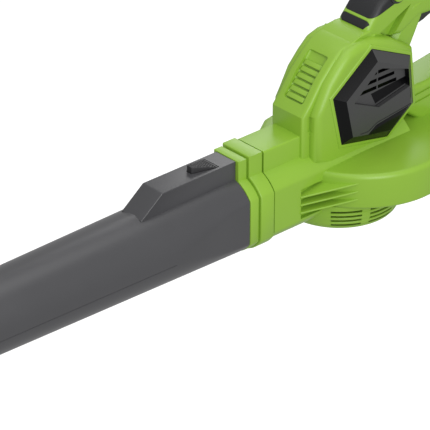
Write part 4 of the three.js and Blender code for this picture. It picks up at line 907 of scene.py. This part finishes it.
def side_recess_cutters():
    depths = (GRIP_HALF - SIDE_RECESS_DEPTH, GRIP_HALF + 3)
    return [outline_solid(SIDE_RECESS, *sorted(side * x for x in depths)) for side in (1, -1)]


def lock_hole():
    return cylinder(LOCK_HOLE, GRIP_HALF - LOCK_HOLE_DEPTH, GRIP_HALF + 5, (LOCK_Y, LOCK_Z), "x", 40)


grip_bm = combined(grip_form(0), [outline_solid(offset_outline(SKIN_REGION, 0.3), -30, 30)])
grip_core = combined(grip_form(SKIN_THICKNESS + 0.2), [lock_hole()])
SKIN_LIP = [(-21, 194), (-21, 186.5), (-14, 178.5), (14, 178.5), (21, 186.5), (21, 194)]
SKIN_LIP_REAR_Y = 19
SKIN_SEAM = 0.3
lip_room = outline_solid([(x, z - SKIN_SEAM) for x, z in SKIN_LIP], 0, SKIN_LIP_REAR_Y + SKIN_SEAM, across="y")
trigger_slot = cuboid(-TRIGGER_SLOT_HALF, TRIGGER_SLOT_HALF, trigger_low.y / MM - 1.5,
                      trigger_high.y / MM + 6.5, 150, 195)
grip_bm = combined(combined(grip_bm, [grip_core], "UNION"), [trigger_slot, lip_room] + side_recess_cutters())
add_piece("grip_bar", grip_bm, green_plastic, "housing", sharp=35)

fairing_bm = outline_solid(FAIRING_OUTLINE, -GRIP_HALF + 0.4, GRIP_HALF - 0.4)
for v in fairing_bm.verts:
    if v.co.y < 5:
        v.co.x *= FAIRING_SPREAD
soften(fairing_bm, 5, 5, angle=50, chosen=lambda middle, e: abs(middle.x) > GRIP_HALF - 1)
add_piece("grip_fairing", fairing_bm, green_plastic, "housing", sharp=50)

strut_bm = outline_solid(STRUT_OUTLINE, -STRUT_HALF, STRUT_HALF)
for v in strut_bm.verts:
    v.co.x *= 1 + max(0.0, v.co.z - STRUT_WAIST_Z) / STRUT_RISE * STRUT_SPREAD
soften(strut_bm, 5, 1, angle=60, chosen=lambda middle, e: abs(e.verts[0].co.x - e.verts[1].co.x) < 8)
soften(strut_bm, 0.6, 2, angle=15)
add_piece("handle_strut", strut_bm, green_plastic, "housing", sharp=20)
ARM_HALF = 18.0
arm_bm = outline_solid(ARM_OUTLINE, -ARM_HALF, ARM_HALF)
soften(arm_bm, 4, 4, angle=60, chosen=lambda middle, e: abs(abs(middle.x) - ARM_HALF) < 0.1)
ARM_GROOVES = [[(70, 88), (150, 95.5)], [(80, 81), (150, 87)]]
ARM_GROOVE_WIDTH = 2.2
arm_cuts = [groove_cutter(line, ARM_GROOVE_WIDTH, *sorted((side * (ARM_HALF - 1.4), side * (ARM_HALF + 2))))
            for line in ARM_GROOVES for side in (1, -1)]
arm_bm = combined(arm_bm, arm_cuts)
add_piece("lower_arm", arm_bm, green_plastic, "housing", sharp=30)
DOCK_HALF = 34.0
DOCK_FRONT_HALF = 17.0
dock_bm = outline_solid(DOCK_OUTLINE, -DOCK_HALF, DOCK_HALF)
for v in dock_bm.verts:
    if v.co.y < DOCK_OUTLINE[0][0] + 1:
        v.co.x *= DOCK_FRONT_HALF / DOCK_HALF
soften(dock_bm, 5, 4, angle=60, chosen=lambda middle, e: abs(middle.x) > 3 and middle.y < 170)
terminal_hole = cuboid(-16, 16, 165, 175, 101, 123)
dock_bm = combined(dock_bm, [terminal_hole])
add_piece("battery_dock", dock_bm, green_plastic, "housing", sharp=35)

# ---------------------------------------------------------------- grip skin
# A soft black rubber skin moulded over the top of the grip, with a ribbed band where the palm sits and a lip over the
# grip's front face.
grip_rubber = plastic("soft_grip_rubber", (0.009, 0.0095, 0.011), 0.46, grain=0.5, grain_scale=900)
skin_region = outline_solid(SKIN_REGION, -30, 30)
skin_lip = outline_solid(SKIN_LIP, 0, SKIN_LIP_REAR_Y, across="y")
skin_region = combined(skin_region, [skin_lip], "UNION")
skin_bm = combined(grip_form(0), [skin_region], "INTERSECT")
skin_bm = combined(skin_bm, [grip_form(SKIN_THICKNESS), lock_hole()])
add_piece("grip_rubber_skin", skin_bm, grip_rubber, "housing", ["grip_skin"], sharp=32)
PALM_RIBS = 12
PALM_RIB_HALF = 12
PALM_RIB_PITCH = 4
ribs_bm = bmesh.new()
for i in range(PALM_RIBS):
    y = 94 + i * PALM_RIB_PITCH
    rib = cuboid(-PALM_RIB_HALF, PALM_RIB_HALF, y, y + 1.8, 218.6, 219.9)
    soften(rib, 0.5, 2)
    poured(ribs_bm, rib)
add_piece("grip_palm_ribs", ribs_bm, grip_rubber, "housing")

# ---------------------------------------------------------------- lock button
# A round green button with a dished face, in a black ring on the grip's left flank, pressed in with the thumb.
LOCK_RING_RADIUS = 10.5
LOCK_RADIUS = 8
DISH_RADIUS = 5.2
ring_bm = cylinder(LOCK_RING_RADIUS, GRIP_HALF - 5, GRIP_HALF + 0.6, (LOCK_Y, LOCK_Z), "x", 48)
soften(ring_bm, 0.6, 3, angle=60, chosen=lambda middle, e: middle.x > GRIP_HALF)
ring_bore = cylinder(LOCK_RADIUS + 0.3, GRIP_HALF - 9, GRIP_HALF + 3, (LOCK_Y, LOCK_Z), "x", 48)
ring_bm = combined(ring_bm, [ring_bore])
add_piece("lock_ring", ring_bm, button_black, "housing", ["lock_button_ring"])
lock_bm = cylinder(LOCK_RADIUS, lock_low.x / MM, lock_high.x / MM, (LOCK_Y, LOCK_Z), "x", 48)
soften(lock_bm, 1.2, 4, angle=60, chosen=lambda middle, e: middle.x > GRIP_HALF)
dish = cylinder(DISH_RADIUS, lock_high.x / MM - 0.5, lock_high.x / MM + 1, (LOCK_Y, LOCK_Z), "x", 40)
lock_bm = combined(lock_bm, [dish])
add_piece("lock_plunger", lock_bm, green_plastic, "lock_button", ["lock_button"])

# ---------------------------------------------------------------- trigger
# The finger trigger under the grip, a black moulding with a hollowed finger face, hinged at its front.
TRIGGER_OUTLINE = [
    (87, 184), (87, 164), (90, 158.5), (95, 156.8), (101, 158.2), (108, 161), (114, 162.2), (120, 163), (121, 178),
    (108, 184),
]
trigger_bm = outline_solid(TRIGGER_OUTLINE, trigger_low.x / MM, trigger_high.x / MM)
soften(trigger_bm, 1.8, 4, angle=60, chosen=lambda middle, e: abs(abs(middle.x) - trigger_high.x / MM) < 0.1)
add_piece("finger_trigger", trigger_bm, button_black, "trigger", ["trigger"], sharp=40)

# ---------------------------------------------------------------- battery pack
# A slide-on pack in two black shells with a seam round the middle, finger grooves down its sides, slots in front for
# the dock's blades and a sprung green latch key at the back.
battery_low, battery_high = [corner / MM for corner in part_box("battery_top_shell")]
pack_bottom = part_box("battery_bottom_shell")[0].z / MM
PACK_SPLIT_Z = battery_low.z
PACK_CORNER = 6.0
PACK_WALL = 2.4
battery_plastic = plastic("battery_black_plastic", (0.02, 0.0205, 0.022), 0.42, grain=0.3, grain_scale=1100)


def pack_form(inset):
    """The whole rounded pack, its surface taken in by the inset."""
    form = cuboid(battery_low.x + inset, battery_high.x - inset, battery_low.y + inset, battery_high.y - inset,
                  pack_bottom + inset, battery_high.z - inset)
    return soften(form, PACK_CORNER - inset, 5, angle=60)


def pack_shell(z0, z1):
    """The pack's wall between two heights."""
    shell = combined(pack_form(0), [cuboid(-60, 60, 150, 260, z0, z1)], "INTERSECT")
    return combined(shell, [pack_form(PACK_WALL)])


latch_low, latch_high = [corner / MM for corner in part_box("battery_latch")]
LATCH_GAP = 0.5
latch_well = cuboid(latch_low.x - LATCH_GAP, latch_high.x + LATCH_GAP, latch_low.y - 1, 260,
                    latch_low.z - LATCH_GAP, latch_high.z + LATCH_GAP)
blade_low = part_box("contact_blade_right")[0] / MM
blade_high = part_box("contact_blade_left")[1] / MM
contact_slots = [cuboid(x - 1.6, x + 1.6, 160, 184, blade_low.z - 1, blade_high.z + 1)
                 for x in (blade_low.x + 0.5, blade_high.x - 0.5)]
top_shell = combined(pack_shell(PACK_SPLIT_Z, 200), [latch_well] + contact_slots)
GROOVE_DEPTH = 1.2
GROOVE_PITCH = 6
finger_grooves = [cuboid(*sorted((side * (battery_high.x - GROOVE_DEPTH), side * 50)), y, y + 2.4,
                         pack_bottom + 9, PACK_SPLIT_Z - 6)
                  for side in (1, -1) for y in range(186, 224, GROOVE_PITCH)]
bottom_shell = combined(pack_shell(0, PACK_SPLIT_Z - 0.5), finger_grooves)
add_piece("pack_upper_shell", top_shell, battery_plastic, "battery", ["battery_top_shell"],
          sharp=35)
add_piece("pack_lower_shell", bottom_shell, battery_plastic, "battery", ["battery_bottom_shell"],
          sharp=35)
latch_bm = cuboid(latch_low.x, latch_high.x, latch_low.y, latch_high.y, latch_low.z, latch_high.z)
soften(latch_bm, 1.2, 3)
latch_ribs = [cuboid(latch_low.x + 2, latch_high.x - 2, latch_high.y - 0.6, latch_high.y + 1, z, z + 1)
              for z in (latch_low.z + 3, latch_low.z + 5.5, latch_low.z + 8)]
latch_bm = combined(latch_bm, latch_ribs)
add_piece("latch_key", latch_bm, green_plastic, "battery_latch", ["battery_latch"], sharp=35)

# ---------------------------------------------------------------- inner parts
# The fan, motor, electronics, cells, contacts, springs and screws keep their frame shapes and take their own
# finishes: black filled nylon, drawn steel, copper windings, green circuit board, brass blades, wrapped cells and
# zinc-plated steel.


def metal(name, colour, roughness):
    material = plastic(name, colour, roughness, grain=0.08, grain_scale=900)
    material.node_tree.nodes["Principled BSDF"].inputs["Metallic"].default_value = 1.0
    return material


inner_black_nylon = plastic("inner_black_nylon", (0.022, 0.022, 0.024), 0.48)
motor_steel = metal("motor_drawn_steel", (0.42, 0.42, 0.43), 0.34)
copper_winding = metal("copper_winding", (0.62, 0.27, 0.11), 0.4)
contact_brass = metal("contact_brass", (0.72, 0.5, 0.2), 0.28)
board_green = plastic("circuit_board_green", (0.012, 0.11, 0.035), 0.35)
cell_wrap = plastic("cell_wrap_blue", (0.03, 0.13, 0.36), 0.3)
NODE_FINISHES = {
    inner_black_nylon: ["impeller", "motor_foot", "motor_end_cap", "terminal_block", "trigger_switch"],
    motor_steel: ["motor_can", "heat_sink"],
    copper_winding: ["rotor_core", "stator"],
    contact_brass: ["contact_blade_left", "contact_blade_right"],
    board_green: ["control_board", "battery_board"],
    cell_wrap: [f"cell_{i + 1}" for i in range(5)],
    green_inner: ["fan_plate"],
    steel: ["impeller_nut", "motor_shaft", "lower_bearing", "upper_bearing", "trigger_pin", "trigger_spring",
            "tube_release_spring"] + [f"housing_screw_{i + 1}" for i in range(6)],
}
for material, node_names in NODE_FINISHES.items():
    for node_name in node_names:
        node_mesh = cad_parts[node_name].data
        node_mesh.materials.clear()
        node_mesh.materials.append(material)
